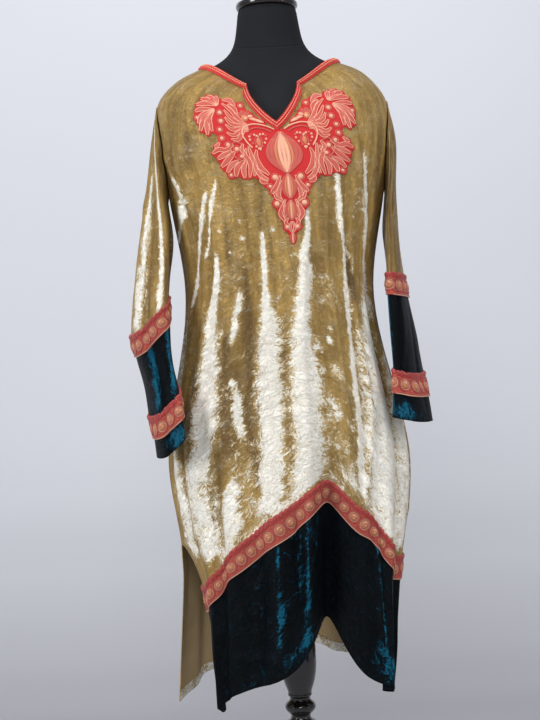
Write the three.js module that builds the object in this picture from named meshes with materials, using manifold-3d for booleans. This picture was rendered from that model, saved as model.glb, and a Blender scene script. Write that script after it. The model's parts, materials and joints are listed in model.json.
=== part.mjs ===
// A crushed velvet pheran (a long, loose tunic) worn by a limbless dress form on a turned wooden stand.
// Millimetres, +Z up, the wearer faces -Y. The origin is on the floor, on the axis of the stand.
// "left" and "right" are the sides as seen from the front, so left is -X.
import * as THREE from "three";
import { mergeVertices } from "three/addons/utils/BufferGeometryUtils.js";
import Module from "manifold-3d";

const wasm = await Module();
wasm.setup();

// ---------------------------------------------------------------- driving sizes
const VELVET = 2; // wall of the cloth, pile included
const TRIM = 1.3; // wall of the embroidered bands and the neck motif
const GAP = 0.3; // between pieces that touch
const SIDE_GAP = 0.6; // between the front and the back at their seams
const BAND = 38; // height of an embroidered band
const BINDING = 13; // width of the neck binding

const FRONT_COLUMNS = 40;
const BACK_COLUMNS = 26;
const SLEEVE_COLUMNS = 18;
const FORM_COLUMNS = 36;

// Rows with named columns.
function table(columns, ...rows) {
  const names = columns.split(" ");
  return rows.map((row) => Object.fromEntries(names.map((name, i) => [name, row[i]])));
}

// The body of the garment, one row for each level from the neckline to the hem. "down" is the distance from
// the neck point along the side seam; each level gives the side lines, and the middle of the front and back.
const LEVELS = table(
  "down leftX leftZ rightX rightZ frontX frontY frontZ backY backZ",
  [0, -111, 1418, 111, 1418, 2, -78, 1358, 60, 1430],
  [56, -166, 1392, 164, 1393, 4, -101, 1326, 84, 1398],
  [107, -199, 1353, 200, 1345, 6, -119, 1290, 102, 1352],
  [190, -201, 1272, 203, 1268, 12, -136, 1238, 116, 1276],
  [273, -186, 1190, 189, 1188, 17, -147, 1182, 124, 1198],
  [463, -166, 1002, 163, 1002, 26, -154, 1045, 132, 1012],
  [726, -209, 742, 211, 742, 34, -162, 862, 142, 762],
  [876, -203, 590, 203, 602, 38, -168, 722, 148, 618],
  [938, -199, 528, 197, 546, 40, -170, 660, 150, 560],
  [1141, -203, 322, 184, 340, 46, -166, 385, 150, 378],
);
const HEM = 1141;
// The seam between the front and its hem panel: how far below its row it lies, from left to right.
const SEAM_ROW = 902;
const SEAM_LINE = table(
  "at shift",
  [0, 40], [0.18, 46], [0.3, 38], [0.4, 31], [0.47, 29], [0.53, 28],
  [0.57, 27], [0.62, 17], [0.68, 10], [0.75, 32], [0.86, 26], [1, 20],
);
const TIP = 107; // shoulder tip, where the armhole starts
const ARMPIT = 273; // where it ends
const ARMHOLE = 0.105; // half width of the armhole, as a share of a panel
const SLIT = { left: 876, right: 846 }; // top of the side slits
const V_HALF = 0.125; // half width of the neck slit, as a share of the front
const V_DEPTH = 95; // depth of the neck slit

// How far each edge has swung at the hem, below its side slit.
const SWING = {
  front: { left: { x: 72, y: -100, z: 0 }, right: { x: -26, y: -84, z: 0 }, hold: 0.34 },
  back: { left: { x: -14, y: 22, z: -14 }, right: { x: -22, y: 30, z: 12 }, hold: 0.3 },
};

// The largest folds. at: place across the panel, 0 at the left seam and 1 at the right. drift: how far it
// moves by the hem. depth: outwards at full size; it grows from one distance down to another. hem adds to it
// below the waist, and lift raises the hem there.
const FRONT_FOLDS = table(
  "at drift width depth from full hem lift",
  [0.2, -0.01, 0.034, 8, 330, 700, 4, 0],
  [0.285, 0.0, 0.032, 13, 260, 560, 2, 0],
  [0.4, -0.015, 0.03, 10, 240, 520, 6, 0],
  [0.49, -0.01, 0.03, 11, 330, 620, 10, 0],
  [0.55, -0.02, 0.072, 4, 420, 760, -66, 85],
  [0.72, 0.03, 0.034, 12, 300, 640, 10, 0],
  [0.83, 0.02, 0.04, -8, 330, 700, -8, 0],
);
const BACK_FOLDS = table(
  "at drift width depth from full hem",
  [0.2, 0.02, 0.045, 12, 330, 800, 8],
  [0.34, 0.01, 0.04, -9, 300, 760, -12],
  [0.5, 0.0, 0.05, 14, 260, 700, 10],
  [0.66, -0.01, 0.04, -10, 300, 780, -12],
  [0.8, -0.02, 0.045, 12, 340, 800, 8],
);

// The sleeves, one row for each section below the armhole. crown: its outer point. under: its inner point.
// middleY and deep: where it lies from front to back. turn: how far it turns about the vertical.
const SLEEVES = {
  left: table(
    "at crownX crownZ underX underZ middleY deep turn",
    [78, -214, 1278, -187, 1176, -10, 55, 3],
    [174, -228, 1184, -182, 1130, -20, 62, 6],
    [276, -246, 1082, -184, 1080, -34, 68, 10],
    [405, -262, 954, -190, 1020, -52, 72, 14],
    [443, -256, 918, -189, 984, -58, 71, 16],
    [500, -245, 862, -187, 922, -72, 66, 20],
    [548, -237, 816, -178, 868, -90, 60, 21],
    [586, -229, 779, -173, 828, -104, 56, 22],
    [618, -225, 748, -170, 796, -116, 53, 23],
  ),
  right: table(
    "at crownX crownZ underX underZ middleY deep turn",
    [78, 212, 1272, 189, 1172, -8, 54, -2],
    [174, 208, 1184, 184, 1128, -18, 60, -4],
    [276, 211, 1092, 182, 1080, -30, 64, -7],
    [340, 217, 1036, 181, 1040, -40, 66, -10],
    [378, 222, 998, 180, 1004, -47, 66, -12],
    [450, 234, 926, 181, 934, -68, 64, -18],
    [512, 240, 866, 182, 880, -88, 60, -24],
    [550, 245, 828, 180, 842, -101, 57, -26],
    [590, 247, 788, 176, 802, -112, 54, -27],
  ),
};
// Where each sleeve's pieces end, along the crown.
const SLEEVE_CUTS = {
  left: { bandTop: 405, seam: 430, bandFoot: 443, lowTop: 548, lowFoot: 586, cuff: 618 },
  right: { bandTop: 340, seam: 365, bandFoot: 378, lowTop: 512, lowFoot: 550, cuff: 590 },
};
const SLEEVE_FOLDS = {
  left: table(
    "at width depth from full",
    [0.16, 0.05, -13, 60, 300],
    [0.3, 0.05, 7, 60, 260],
    [0.62, 0.06, -7, 90, 300],
    [0.85, 0.06, -9, 90, 320],
  ),
  right: table(
    "at width depth from full",
    [0.2, 0.05, -8, 120, 420],
    [0.34, 0.05, 6, 90, 380],
    [0.66, 0.06, -7, 120, 420],
    [0.86, 0.06, -7, 120, 420],
  ),
};

// Rows of the panels, as distances down.
const FRONT_ROWS = [
  0, BINDING, 56, 107, 148, 190, 232, 273, 350, 430, 520, 610, 700, 790, 850, SEAM_ROW, 932,
];
const HEM_ROWS = [932.4, SEAM_ROW + BAND, 1000, 1070, HEM];
const BACK_ROWS = [0, BINDING, 56, 107, 148, 190, 232, 273, 360, 463, 570, 680, 790, 876, 960, 1050, HEM];
const BAND_ROWS = [SEAM_ROW, 932, SEAM_ROW + BAND];

// The dress form, in the same kind of levels, from its bottom edge up to the top of its neck.
const FORM_LEVELS = table(
  "down sideX sideZ frontY frontZ backY backZ",
  [0, 156, 752, -104, 752, 100, 752],
  [100, 166, 850, -112, 850, 112, 850],
  [210, 142, 950, -102, 950, 92, 950],
  [300, 120, 1035, -92, 1035, 74, 1035],
  [390, 134, 1125, -118, 1110, 88, 1125],
  [470, 156, 1200, -130, 1188, 102, 1206],
  [550, 180, 1280, -124, 1245, 104, 1275],
  [620, 184, 1356, -108, 1292, 93, 1344],
  [665, 152, 1395, -91, 1322, 76, 1388],
  [715, 105, 1417, -70, 1356, 54, 1420],
  [760, 66, 1437, -57, 1408, 50, 1440],
  [790, 59, 1460, -53, 1448, 49, 1462],
  [850, 51, 1514, -50, 1514, 49, 1514],
);
const FORM_ROWS = 24;

// Turned parts, as radius and height.
const SPIGOT = { radius: 13, top: 880 };
const SOCKET = { radius: 13.4, depth: 132 };
const BASE_PROFILE = [[0, 0], [168, 0], [172, 5], [170, 14], [150, 22], [96, 27], [60, 34], [0, 34]];
const POST_PROFILE = [
  [0, 34.3], [46, 34.3], [48, 42], [36, 52], [25, 62], [24, 74], [30, 92], [35, 116], [35, 140], [29, 178],
  [23, 214], [20, 236], [22, 244], [28, 251], [30, 260], [28, 269], [19, 276], [17, 281], [22, 286], [26.5, 294],
  [25, 302], [19, 308], [18, 312], [21, 320], [28, 340], [31, 362], [31, 400], [29, 450], [25, 520], [22, 600],
  [21, 660], [24, 690], [32, 704], [34, 716], [30, 728], [38, 738], [38, 751.6], [SPIGOT.radius, 751.6],
  [SPIGOT.radius, SPIGOT.top], [0, SPIGOT.top],
];
const CAP_PROFILE = [[0, 1514.3], [50, 1514.3], [54, 1518], [54, 1524], [50, 1527], [0, 1527]];
const BOSS_PROFILE = [[0, 1527.3], [33, 1527.3], [33, 1537], [28, 1543], [0, 1545]];
const TURNED_SIDES = 36;

// ---------------------------------------------------------------- small tools
const mix = (a, b, share) => a + (b - a) * share;
const clamp01 = (value) => Math.min(1, Math.max(0, value));
const ease = (from, to, value) => {
  const share = clamp01((value - from) / (to - from));
  return share * share * (3 - 2 * share);
};

// A table's column at any place along its key, on a smooth line through the rows.
function smooth(table, key, column, value) {
  const last = table.length - 1;
  let i = 0;
  while (i < last - 1 && value > table[i + 1][key]) i += 1;
  const slope = (k) => {
    const before = table[Math.max(0, k - 1)];
    const after = table[Math.min(last, k + 1)];
    return (after[column] - before[column]) / (after[key] - before[key]);
  };
  const step = table[i + 1][key] - table[i][key];
  const s = clamp01((value - table[i][key]) / step);
  const [p0, p1] = [table[i][column], table[i + 1][column]];
  const [m0, m1] = [slope(i) * step, slope(i + 1) * step];
  const [cube, square] = [s ** 3, s ** 2];
  const ends = p0 * (2 * cube - 3 * square + 1) + p1 * (3 * square - 2 * cube);
  return ends + m0 * (cube - 2 * square + s) + m1 * (cube - square);
}

function solidOf(geometry) {
  const bare = geometry.clone();
  bare.deleteAttribute("normal");
  bare.deleteAttribute("uv");
  const merged = mergeVertices(bare, 1e-4);
  const mesh = new wasm.Mesh({
    numProp: 3,
    vertProperties: merged.attributes.position.array,
    triVerts: new Uint32Array(merged.index.array),
  });
  return new wasm.Manifold(mesh);
}

function geometryOf(solid) {
  const mesh = solid.getMesh();
  return new THREE.BufferGeometry()
    .setAttribute("position", new THREE.BufferAttribute(mesh.vertProperties, 3))
    .setIndex(new THREE.BufferAttribute(mesh.triVerts, 1));
}

// A closed geometry from a list of points and triangles, turned to face out.
function closed(points, triangles) {
  let volume = 0;
  const product = new THREE.Vector3();
  for (const [a, b, c] of triangles) volume += points[a].dot(product.crossVectors(points[b], points[c]));
  const facing = volume < 0 ? triangles.map(([a, b, c]) => [a, c, b]) : triangles;
  const numbers = new Float32Array(points.flatMap((p) => [p.x, p.y, p.z]));
  return new THREE.BufferGeometry()
    .setAttribute("position", new THREE.BufferAttribute(numbers, 3))
    .setIndex(facing.flat());
}

// Normal of a surface(across, down), by small steps. It may point either way, but the same way all over.
function normalAt(surface, across, down) {
  const [du, dd] = [0.002, 0.8];
  const along = surface(across + du, down).sub(surface(across - du, down));
  const below = surface(across, down + dd).sub(surface(across, down - dd));
  return along.cross(below).normalize();
}

// A wall between two distances from a surface, over a grid of places [across, down]. round: the columns close
// on themselves.
function wall(surface, centre, places, inner, outer, round = false) {
  const rows = places.length;
  const columns = places[0].length;
  const skin = places.flat().map(([across, down]) => {
    const [point, normal] = [surface(across, down), normalAt(surface, across, down)];
    return { point, normal, out: normal.dot(point.clone().sub(centre(down))) };
  });
  const facing = Math.sign(skin.reduce((sum, { out }) => sum + out, 0));
  const points = [outer, inner].flatMap((distance) =>
    skin.map(({ point, normal }) => point.clone().addScaledVector(normal, facing * distance)),
  );
  const at = (layer, row, column) => layer * rows * columns + row * columns + (column % columns);
  const triangles = [];
  const quad = (a, b, c, d) => triangles.push([a, b, c], [a, c, d]);
  const spans = round ? columns : columns - 1;
  for (let row = 0; row < rows - 1; row += 1)
    for (let column = 0; column < spans; column += 1) {
      quad(at(0, row, column), at(0, row, column + 1), at(0, row + 1, column + 1), at(0, row + 1, column));
      quad(at(1, row, column), at(1, row + 1, column), at(1, row + 1, column + 1), at(1, row, column + 1));
    }
  for (let column = 0; column < spans; column += 1) {
    quad(at(0, 0, column), at(1, 0, column), at(1, 0, column + 1), at(0, 0, column + 1));
    const end = rows - 1;
    quad(at(0, end, column), at(0, end, column + 1), at(1, end, column + 1), at(1, end, column));
  }
  if (!round)
    for (let row = 0; row < rows - 1; row += 1) {
      const end = columns - 1;
      quad(at(0, row, 0), at(0, row + 1, 0), at(1, row + 1, 0), at(1, row, 0));
      quad(at(0, row, end), at(1, row, end), at(1, row + 1, end), at(0, row + 1, end));
    }
  return closed(points, triangles);
}

const range = (count) => Array.from({ length: count }, (_, i) => i);

// ---------------------------------------------------------------- the body of the garment
function foldsAt(folds, across, down) {
  let [depth, lift] = [0, 0];
  for (const fold of folds) {
    const at = fold.at + fold.drift * ease(fold.from, HEM, down);
    const share = Math.exp(-(((across - at) / fold.width) ** 2));
    const low = ease(700, HEM, down) ** 1.5;
    depth += (fold.depth * ease(fold.from, fold.full, down) + fold.hem * low) * share;
    lift += (fold.lift ?? 0) * low * share;
  }
  const inner = ease(0, 0.1, Math.min(across, 1 - across));
  return { depth: depth * inner, lift: lift * inner };
}

// How far a panel has swung at its free edges, below the slits.
function swing(panel, across, down) {
  const offset = new THREE.Vector3();
  for (const side of ["left", "right"]) {
    const edge = side === "left" ? across : 1 - across;
    const hold = 1 - ease(0, panel.hold, edge);
    const open = clamp01((down - SLIT[side]) / (HEM - SLIT[side])) ** 0.6;
    offset.addScaledVector(new THREE.Vector3(panel[side].x, panel[side].y, panel[side].z), hold * open);
  }
  return offset;
}

function bodySurface(name) {
  const folds = name === "front" ? FRONT_FOLDS : BACK_FOLDS;
  const facing = name === "front" ? -1 : 1;
  return (across, down) => {
    const level = (column) => smooth(LEVELS, "down", column, down);
    const turn = Math.PI * across;
    const arch = Math.sin(turn) ** 3;
    const drift = name === "front" ? level("frontX") * arch : 0;
    const share = (1 - Math.cos(turn)) / 2;
    const point = new THREE.Vector3(
      mix(level("leftX"), level("rightX"), share) + drift,
      level(`${name}Y`) * Math.sin(turn),
      mix(mix(level("leftZ"), level("rightZ"), share), level(`${name}Z`), arch),
    );
    const { depth, lift } = foldsAt(folds, across, down);
    point.z += lift;
    point.x += -Math.cos(turn) * depth;
    point.y += facing * (Math.sin(turn) * depth + SIDE_GAP / 2);
    return point.add(swing(SWING[name], across, down));
  };
}
const bodyCentre = (down) => new THREE.Vector3(0, 0, mix(1330, 330, clamp01(down / HEM)));

// Half width of the armhole at a distance down, as a share of the panel.
function armhole(down) {
  const share = clamp01((down - TIP) / (ARMPIT - TIP));
  return ARMHOLE * 2 * Math.sqrt(share * (1 - share));
}

// Top edge of the front: the round neck with its slit in the middle.
const slitDepth = (column) => V_DEPTH * Math.max(0, 1 - Math.abs(column - 0.5) / V_HALF);

// The binding is as wide across the slanting edges of the slit as elsewhere, so it reaches lower there.
const bindingDepth = (column) => (Math.abs(column - 0.5) < V_HALF - 0.001 ? 1.75 * BINDING : BINDING);

// Places of a panel's grid. cut: how far each column's top edge lies below the neckline. The second row is
// the binding's lower edge.
function panelPlaces(rows, columns, cut = () => 0, binding = () => BINDING) {
  return rows.map((row) =>
    range(columns + 1).map((i) => {
      const column = i / columns;
      const top = cut(column);
      const bound = top + (row / BINDING) * binding(column);
      const eased = top + (row * (ARMPIT - top)) / ARMPIT;
      const down = row <= BINDING ? bound : row < ARMPIT ? eased : row;
      const open = armhole(down);
      return [mix(open, 1 - open, column), down];
    }),
  );
}

const frontSurface = bodySurface("front");
const backSurface = bodySurface("back");
// The rows of the front near its hem seam bend to follow that seam.
function followSeam(places) {
  return places.map((row) =>
    row.map(([across, down]) => {
      const below = (HEM - down) / (HEM - SEAM_ROW - BAND);
      const share = down < SEAM_ROW ? ease(600, SEAM_ROW, down) : Math.min(1, below);
      return [across, down + smooth(SEAM_LINE, "at", "shift", across) * share];
    }),
  );
}
const frontPlaces = followSeam(panelPlaces(FRONT_ROWS, FRONT_COLUMNS, slitDepth, bindingDepth));
const hemPlaces = followSeam(panelPlaces(HEM_ROWS, FRONT_COLUMNS));
const bandPlaces = followSeam(panelPlaces(BAND_ROWS, FRONT_COLUMNS));

const frontPanel = () => wall(frontSurface, bodyCentre, frontPlaces, -VELVET, 0);
const frontHem = () => wall(frontSurface, bodyCentre, hemPlaces, -VELVET, 0);
const backPanel = () => wall(backSurface, bodyCentre, panelPlaces(BACK_ROWS, BACK_COLUMNS), -VELVET, 0);
const hemBand = () => wall(frontSurface, bodyCentre, bandPlaces, GAP, GAP + TRIM);
const backBinding = () =>
  wall(backSurface, bodyCentre, panelPlaces(BACK_ROWS.slice(0, 2), BACK_COLUMNS), GAP, GAP + TRIM);

// ---------------------------------------------------------------- what is sewn on the chest
// A piece that lies on the front: the front's own skin, moved out, and cut to an outline seen from the front.
function block(outline) {
  const section = new wasm.CrossSection([outline.map((point) => [point.x, point.y])], "NonZero");
  return section.extrude(400).rotate([90, 0, 0]);
}

const frontBinding = () => wall(frontSurface, bodyCentre, frontPlaces.slice(0, 2), GAP, GAP + TRIM);

// The neck motif: two wings beside the slit, and a pendant that ends in a point. Half of its outline, from the
// slit's foot round to the point; x is measured from the middle line of the motif, which leans a little.
const MOTIF_HALF = [
  [0, 1288], [14, 1296], [30, 1318], [44, 1340], [58, 1350], [78, 1358], [98, 1367], [116, 1366], [124, 1352],
  [134, 1334], [129, 1312], [118, 1296], [116, 1276], [122, 1262], [110, 1240], [94, 1222], [78, 1206], [64, 1203],
  [56, 1212], [50, 1200], [44, 1180], [38, 1158], [28, 1136], [22, 1116], [10, 1100], [0, 1088],
];
const MOTIF_MIDDLE = table("z x", [1088, 24], [1150, 23], [1215, 19], [1270, 12], [1320, 3], [1370, -2]);
function motif() {
  const middle = (z) => smooth(MOTIF_MIDDLE, "z", "x", z);
  const right = MOTIF_HALF.map(([x, z]) => new THREE.Vector2(middle(z) + x, z));
  const left = MOTIF_HALF.slice(1, -1).map(([x, z]) => new THREE.Vector2(middle(z) - x, z));
  const outline = block([...left, ...right.reverse()]);
  const top = frontPlaces[1].map(([across, down]) => [across, down + 2 * GAP]);
  const skin = wall(frontSurface, bodyCentre, [top, ...frontPlaces.slice(2, 10)], GAP, GAP + TRIM);
  return geometryOf(solidOf(skin).intersect(outline));
}

// ---------------------------------------------------------------- sleeves
// around: 0 at the crown, a quarter at the front, a half under the arm, three quarters at the back.
function armholePoint(side, around) {
  const angle = 2 * Math.PI * around;
  const down = mix(TIP, ARMPIT, (1 - Math.cos(angle)) / 2);
  const open = (ARMHOLE * Math.abs(Math.sin(angle)) || 0) * 0.97;
  const across = side === "left" ? open : 1 - open;
  const point = (Math.sin(angle) >= 0 ? frontSurface : backSurface)(across, down);
  point.x += side === "left" ? -2.2 : 2.2;
  return point;
}

function sleeveSection(side, row, around) {
  const angle = 2 * Math.PI * around;
  const turn = THREE.MathUtils.degToRad(row.turn);
  const half = (row.crownX - row.underX) / 2;
  const reach = (Math.sign(half) * Math.sqrt(half ** 2 - (row.deep * Math.sin(turn)) ** 2)) / Math.cos(turn);
  const point = new THREE.Vector3(reach * Math.cos(angle), -row.deep * Math.sin(angle), 0);
  point.applyAxisAngle(new THREE.Vector3(0, 0, 1), turn);
  return new THREE.Vector3(
    (row.crownX + row.underX) / 2 + point.x,
    row.middleY + point.y,
    (row.crownZ + row.underZ) / 2 + ((row.crownZ - row.underZ) / 2) * Math.cos(angle),
  );
}

function sleeveSurface(side) {
  return (around, at) => {
    const rows = [{ at: 0, ...xyz(armholePoint(side, around)) }];
    for (const row of SLEEVES[side]) rows.push({ at: row.at, ...xyz(sleeveSection(side, row, around)) });
    const point = new THREE.Vector3(...["x", "y", "z"].map((column) => smooth(rows, "at", column, at)));
    const out = point.clone().sub(sleeveCentre(side)(at)).setZ(0).normalize();
    let depth = 0;
    for (const fold of SLEEVE_FOLDS[side]) {
      const away = ((((around - fold.at) % 1) + 1.5) % 1) - 0.5;
      depth += fold.depth * ease(fold.from, fold.full, at) * Math.exp(-((away / fold.width) ** 2));
    }
    return point.addScaledVector(out, depth);
  };
}
const xyz = (point) => ({ x: point.x, y: point.y, z: point.z });

function sleeveCentre(side) {
  const top = armholePoint(side, 0).add(armholePoint(side, 0.5)).multiplyScalar(0.5);
  const rows = [{ at: 0, ...xyz(top) }];
  for (const row of SLEEVES[side]) {
    const [x, z] = [(row.crownX + row.underX) / 2, (row.crownZ + row.underZ) / 2];
    rows.push({ at: row.at, x, y: row.middleY, z });
  }
  return (at) => new THREE.Vector3(...["x", "y", "z"].map((column) => smooth(rows, "at", column, at)));
}

const sleevePlaces = (rows) => rows.map((at) => range(SLEEVE_COLUMNS).map((i) => [i / SLEEVE_COLUMNS, at]));

function sleevePieces(side) {
  const surface = sleeveSurface(side);
  const centre = sleeveCentre(side);
  const cut = SLEEVE_CUTS[side];
  const tube = (rows, inner, outer) => wall(surface, centre, sleevePlaces(rows), inner, outer, true);
  const upper = [0, 26, 52, 78, 120, 174, 225, 276].filter((at) => at < cut.bandTop - 20);
  const lower = [cut.seam + GAP, cut.bandFoot, mix(cut.bandFoot, cut.lowTop, 0.5), cut.lowTop, cut.lowFoot];
  return {
    sleeve: tube([...upper, cut.bandTop, cut.seam], -VELVET, 0),
    sleeve_end: tube([...lower, cut.cuff], -VELVET, 0),
    upper_band: tube([cut.bandTop, cut.seam, cut.bandFoot], GAP, GAP + TRIM),
    lower_band: tube([cut.lowTop, cut.lowFoot], GAP, GAP + TRIM),
  };
}

// ---------------------------------------------------------------- the dress form and its stand
function formPoint(around, down) {
  const angle = 2 * Math.PI * around;
  const level = (column) => smooth(FORM_LEVELS, "down", column, down);
  const face = Math.sin(angle) < 0 ? "front" : "back";
  const part = Math.sin(angle) ** 2;
  return new THREE.Vector3(
    level("sideX") * Math.cos(angle),
    level(`${face}Y`) * Math.abs(Math.sin(angle)),
    mix(level("sideZ"), level(`${face}Z`), part),
  );
}

function formTorso() {
  const tall = FORM_LEVELS.at(-1).down;
  const points = [];
  const triangles = [];
  const at = (row, column) => row * FORM_COLUMNS + (column % FORM_COLUMNS);
  for (const row of range(FORM_ROWS + 1))
    for (const column of range(FORM_COLUMNS))
      points.push(formPoint(column / FORM_COLUMNS, (row / FORM_ROWS) * tall));
  for (const row of range(FORM_ROWS))
    for (const column of range(FORM_COLUMNS)) {
      triangles.push([at(row, column), at(row, column + 1), at(row + 1, column + 1)]);
      triangles.push([at(row, column), at(row + 1, column + 1), at(row + 1, column)]);
    }
  const foot = points.push(new THREE.Vector3(0, 0, FORM_LEVELS[0].sideZ)) - 1;
  const head = points.push(new THREE.Vector3(0, 0, FORM_LEVELS.at(-1).sideZ)) - 1;
  for (const column of range(FORM_COLUMNS)) {
    triangles.push([foot, at(0, column + 1), at(0, column)]);
    triangles.push([head, at(FORM_ROWS, column), at(FORM_ROWS, column + 1)]);
  }
  const socket = new THREE.CylinderGeometry(SOCKET.radius, SOCKET.radius, 2 * SOCKET.depth, TURNED_SIDES);
  socket.rotateX(Math.PI / 2);
  socket.translate(0, 0, FORM_LEVELS[0].sideZ);
  return geometryOf(solidOf(closed(points, triangles)).subtract(solidOf(socket)));
}

function turned(profile) {
  const points = profile.map(([radius, height]) => new THREE.Vector2(radius, height));
  const lathe = new THREE.LatheGeometry(points, TURNED_SIDES);
  lathe.rotateX(Math.PI / 2);
  return lathe;
}

// ---------------------------------------------------------------- the object
const finish = (color, roughness, metalness = 0) => new THREE.MeshStandardMaterial({ color, roughness, metalness });
const GOLD_VELVET = finish(0xa8925a, 0.45);
const TEAL_VELVET = finish(0x0c3347, 0.5);
const RED_EMBROIDERY = finish(0xd1402f, 0.7);
const CORAL_BAND = finish(0xc9502f, 0.6);
const BLACK_JERSEY = finish(0x17191c, 0.9);
const BLACK_LACQUER = finish(0x0b0a0a, 0.25);
const GREY_PLASTIC = finish(0xb9bcc2, 0.35);

const pheran = new THREE.Group();
function add(name, geometry, material) {
  const mesh = new THREE.Mesh(geometry, material);
  mesh.name = name;
  pheran.add(mesh);
}

add("front_panel", frontPanel(), GOLD_VELVET);
add("back_panel", backPanel(), GOLD_VELVET);
add("front_hem_panel", frontHem(), TEAL_VELVET);
add("front_hem_band", hemBand(), CORAL_BAND);
for (const side of ["left", "right"]) {
  const pieces = sleevePieces(side);
  add(`sleeve_${side}`, pieces.sleeve, GOLD_VELVET);
  add(`sleeve_end_${side}`, pieces.sleeve_end, TEAL_VELVET);
  add(`sleeve_upper_band_${side}`, pieces.upper_band, CORAL_BAND);
  add(`sleeve_lower_band_${side}`, pieces.lower_band, CORAL_BAND);
}
add("neck_binding_front", frontBinding(), RED_EMBROIDERY);
add("neck_binding_back", backBinding(), RED_EMBROIDERY);
add("neck_motif", motif(), RED_EMBROIDERY);
add("form_torso", formTorso(), BLACK_JERSEY);
add("form_neck_cap", turned(CAP_PROFILE), BLACK_LACQUER);
add("form_neck_boss", turned(BOSS_PROFILE), GREY_PLASTIC);
add("stand_post", turned(POST_PROFILE), BLACK_LACQUER);
add("stand_base", turned(BASE_PROFILE), BLACK_LACQUER);

export default pheran;
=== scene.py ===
import json
import math

import bpy
import numpy as np
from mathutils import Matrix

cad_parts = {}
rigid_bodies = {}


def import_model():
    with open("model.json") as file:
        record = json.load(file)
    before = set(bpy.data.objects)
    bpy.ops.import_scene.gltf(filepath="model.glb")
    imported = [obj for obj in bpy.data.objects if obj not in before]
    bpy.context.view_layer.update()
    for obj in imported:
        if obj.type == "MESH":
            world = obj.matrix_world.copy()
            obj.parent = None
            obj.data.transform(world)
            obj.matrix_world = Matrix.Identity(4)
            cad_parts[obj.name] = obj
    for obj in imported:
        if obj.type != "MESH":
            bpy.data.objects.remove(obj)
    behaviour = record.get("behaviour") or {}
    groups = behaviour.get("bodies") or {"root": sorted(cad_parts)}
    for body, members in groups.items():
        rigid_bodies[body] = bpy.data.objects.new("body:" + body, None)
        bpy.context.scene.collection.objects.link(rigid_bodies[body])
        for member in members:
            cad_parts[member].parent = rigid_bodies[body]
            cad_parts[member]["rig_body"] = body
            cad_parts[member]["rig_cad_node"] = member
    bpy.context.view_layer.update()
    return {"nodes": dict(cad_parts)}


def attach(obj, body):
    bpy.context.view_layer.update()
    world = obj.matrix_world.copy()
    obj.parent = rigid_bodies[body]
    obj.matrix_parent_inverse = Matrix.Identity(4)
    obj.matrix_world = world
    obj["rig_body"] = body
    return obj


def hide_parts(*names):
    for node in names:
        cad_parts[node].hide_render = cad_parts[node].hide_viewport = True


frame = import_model()

# The foot of the stand is a round plate of turned hardwood with a shallow dome and a soft edge, lacquered black.
# It is turned in one piece, and the post is fixed into its middle.
FOOT_PROFILE = [  # radius and height in millimetres, from the bottom up
    (166, 0), (168, 0), (171.5, 1.5), (172, 4), (171.5, 9), (169, 14), (164, 17), (151, 20), (149, 22.5), (145, 23.5),
    (110, 26), (80, 29), (60, 32.5), (57, 33.6), (40, 34),
]


def pick(piece):
    """Makes a piece the only one selected, for the operators that follow."""
    bpy.ops.object.select_all(action="DESELECT")
    bpy.context.view_layer.objects.active = piece
    piece.select_set(True)


def shape_by(piece, kind, **settings):
    """Works a modifier into the piece that is picked."""
    modifier = piece.modifiers.new("shaping", kind)
    for key, value in settings.items():
        setattr(modifier, key, value)
    bpy.ops.object.modifier_apply(modifier="shaping")


def turned(name, profile, sides=48, levels=2):
    """A piece turned on a lathe: each ring of the profile is extruded from the one before and resized."""
    bpy.ops.object.select_all(action="DESELECT")
    radius, height = profile[0]
    bpy.ops.mesh.primitive_circle_add(vertices=sides, radius=radius / 1000, fill_type="NGON")
    piece = bpy.context.object
    piece.name = name
    bpy.ops.object.mode_set(mode="EDIT")
    bpy.ops.mesh.select_all(action="SELECT")
    bpy.ops.transform.translate(value=(0, 0, height / 1000))
    for wider, higher in profile[1:]:
        bpy.ops.mesh.extrude_region_move(TRANSFORM_OT_translate={"value": (0, 0, (higher - height) / 1000)})
        bpy.ops.transform.resize(value=(wider / radius, wider / radius, 1), center_override=(0, 0, higher / 1000))
        radius, height = wider, higher
    bpy.ops.mesh.select_all(action="SELECT")
    bpy.ops.mesh.normals_make_consistent(inside=False)
    bpy.ops.object.mode_set(mode="OBJECT")
    shape_by(piece, "SUBSURF", levels=levels, render_levels=levels)
    bpy.ops.object.shade_smooth()
    return piece


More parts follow.
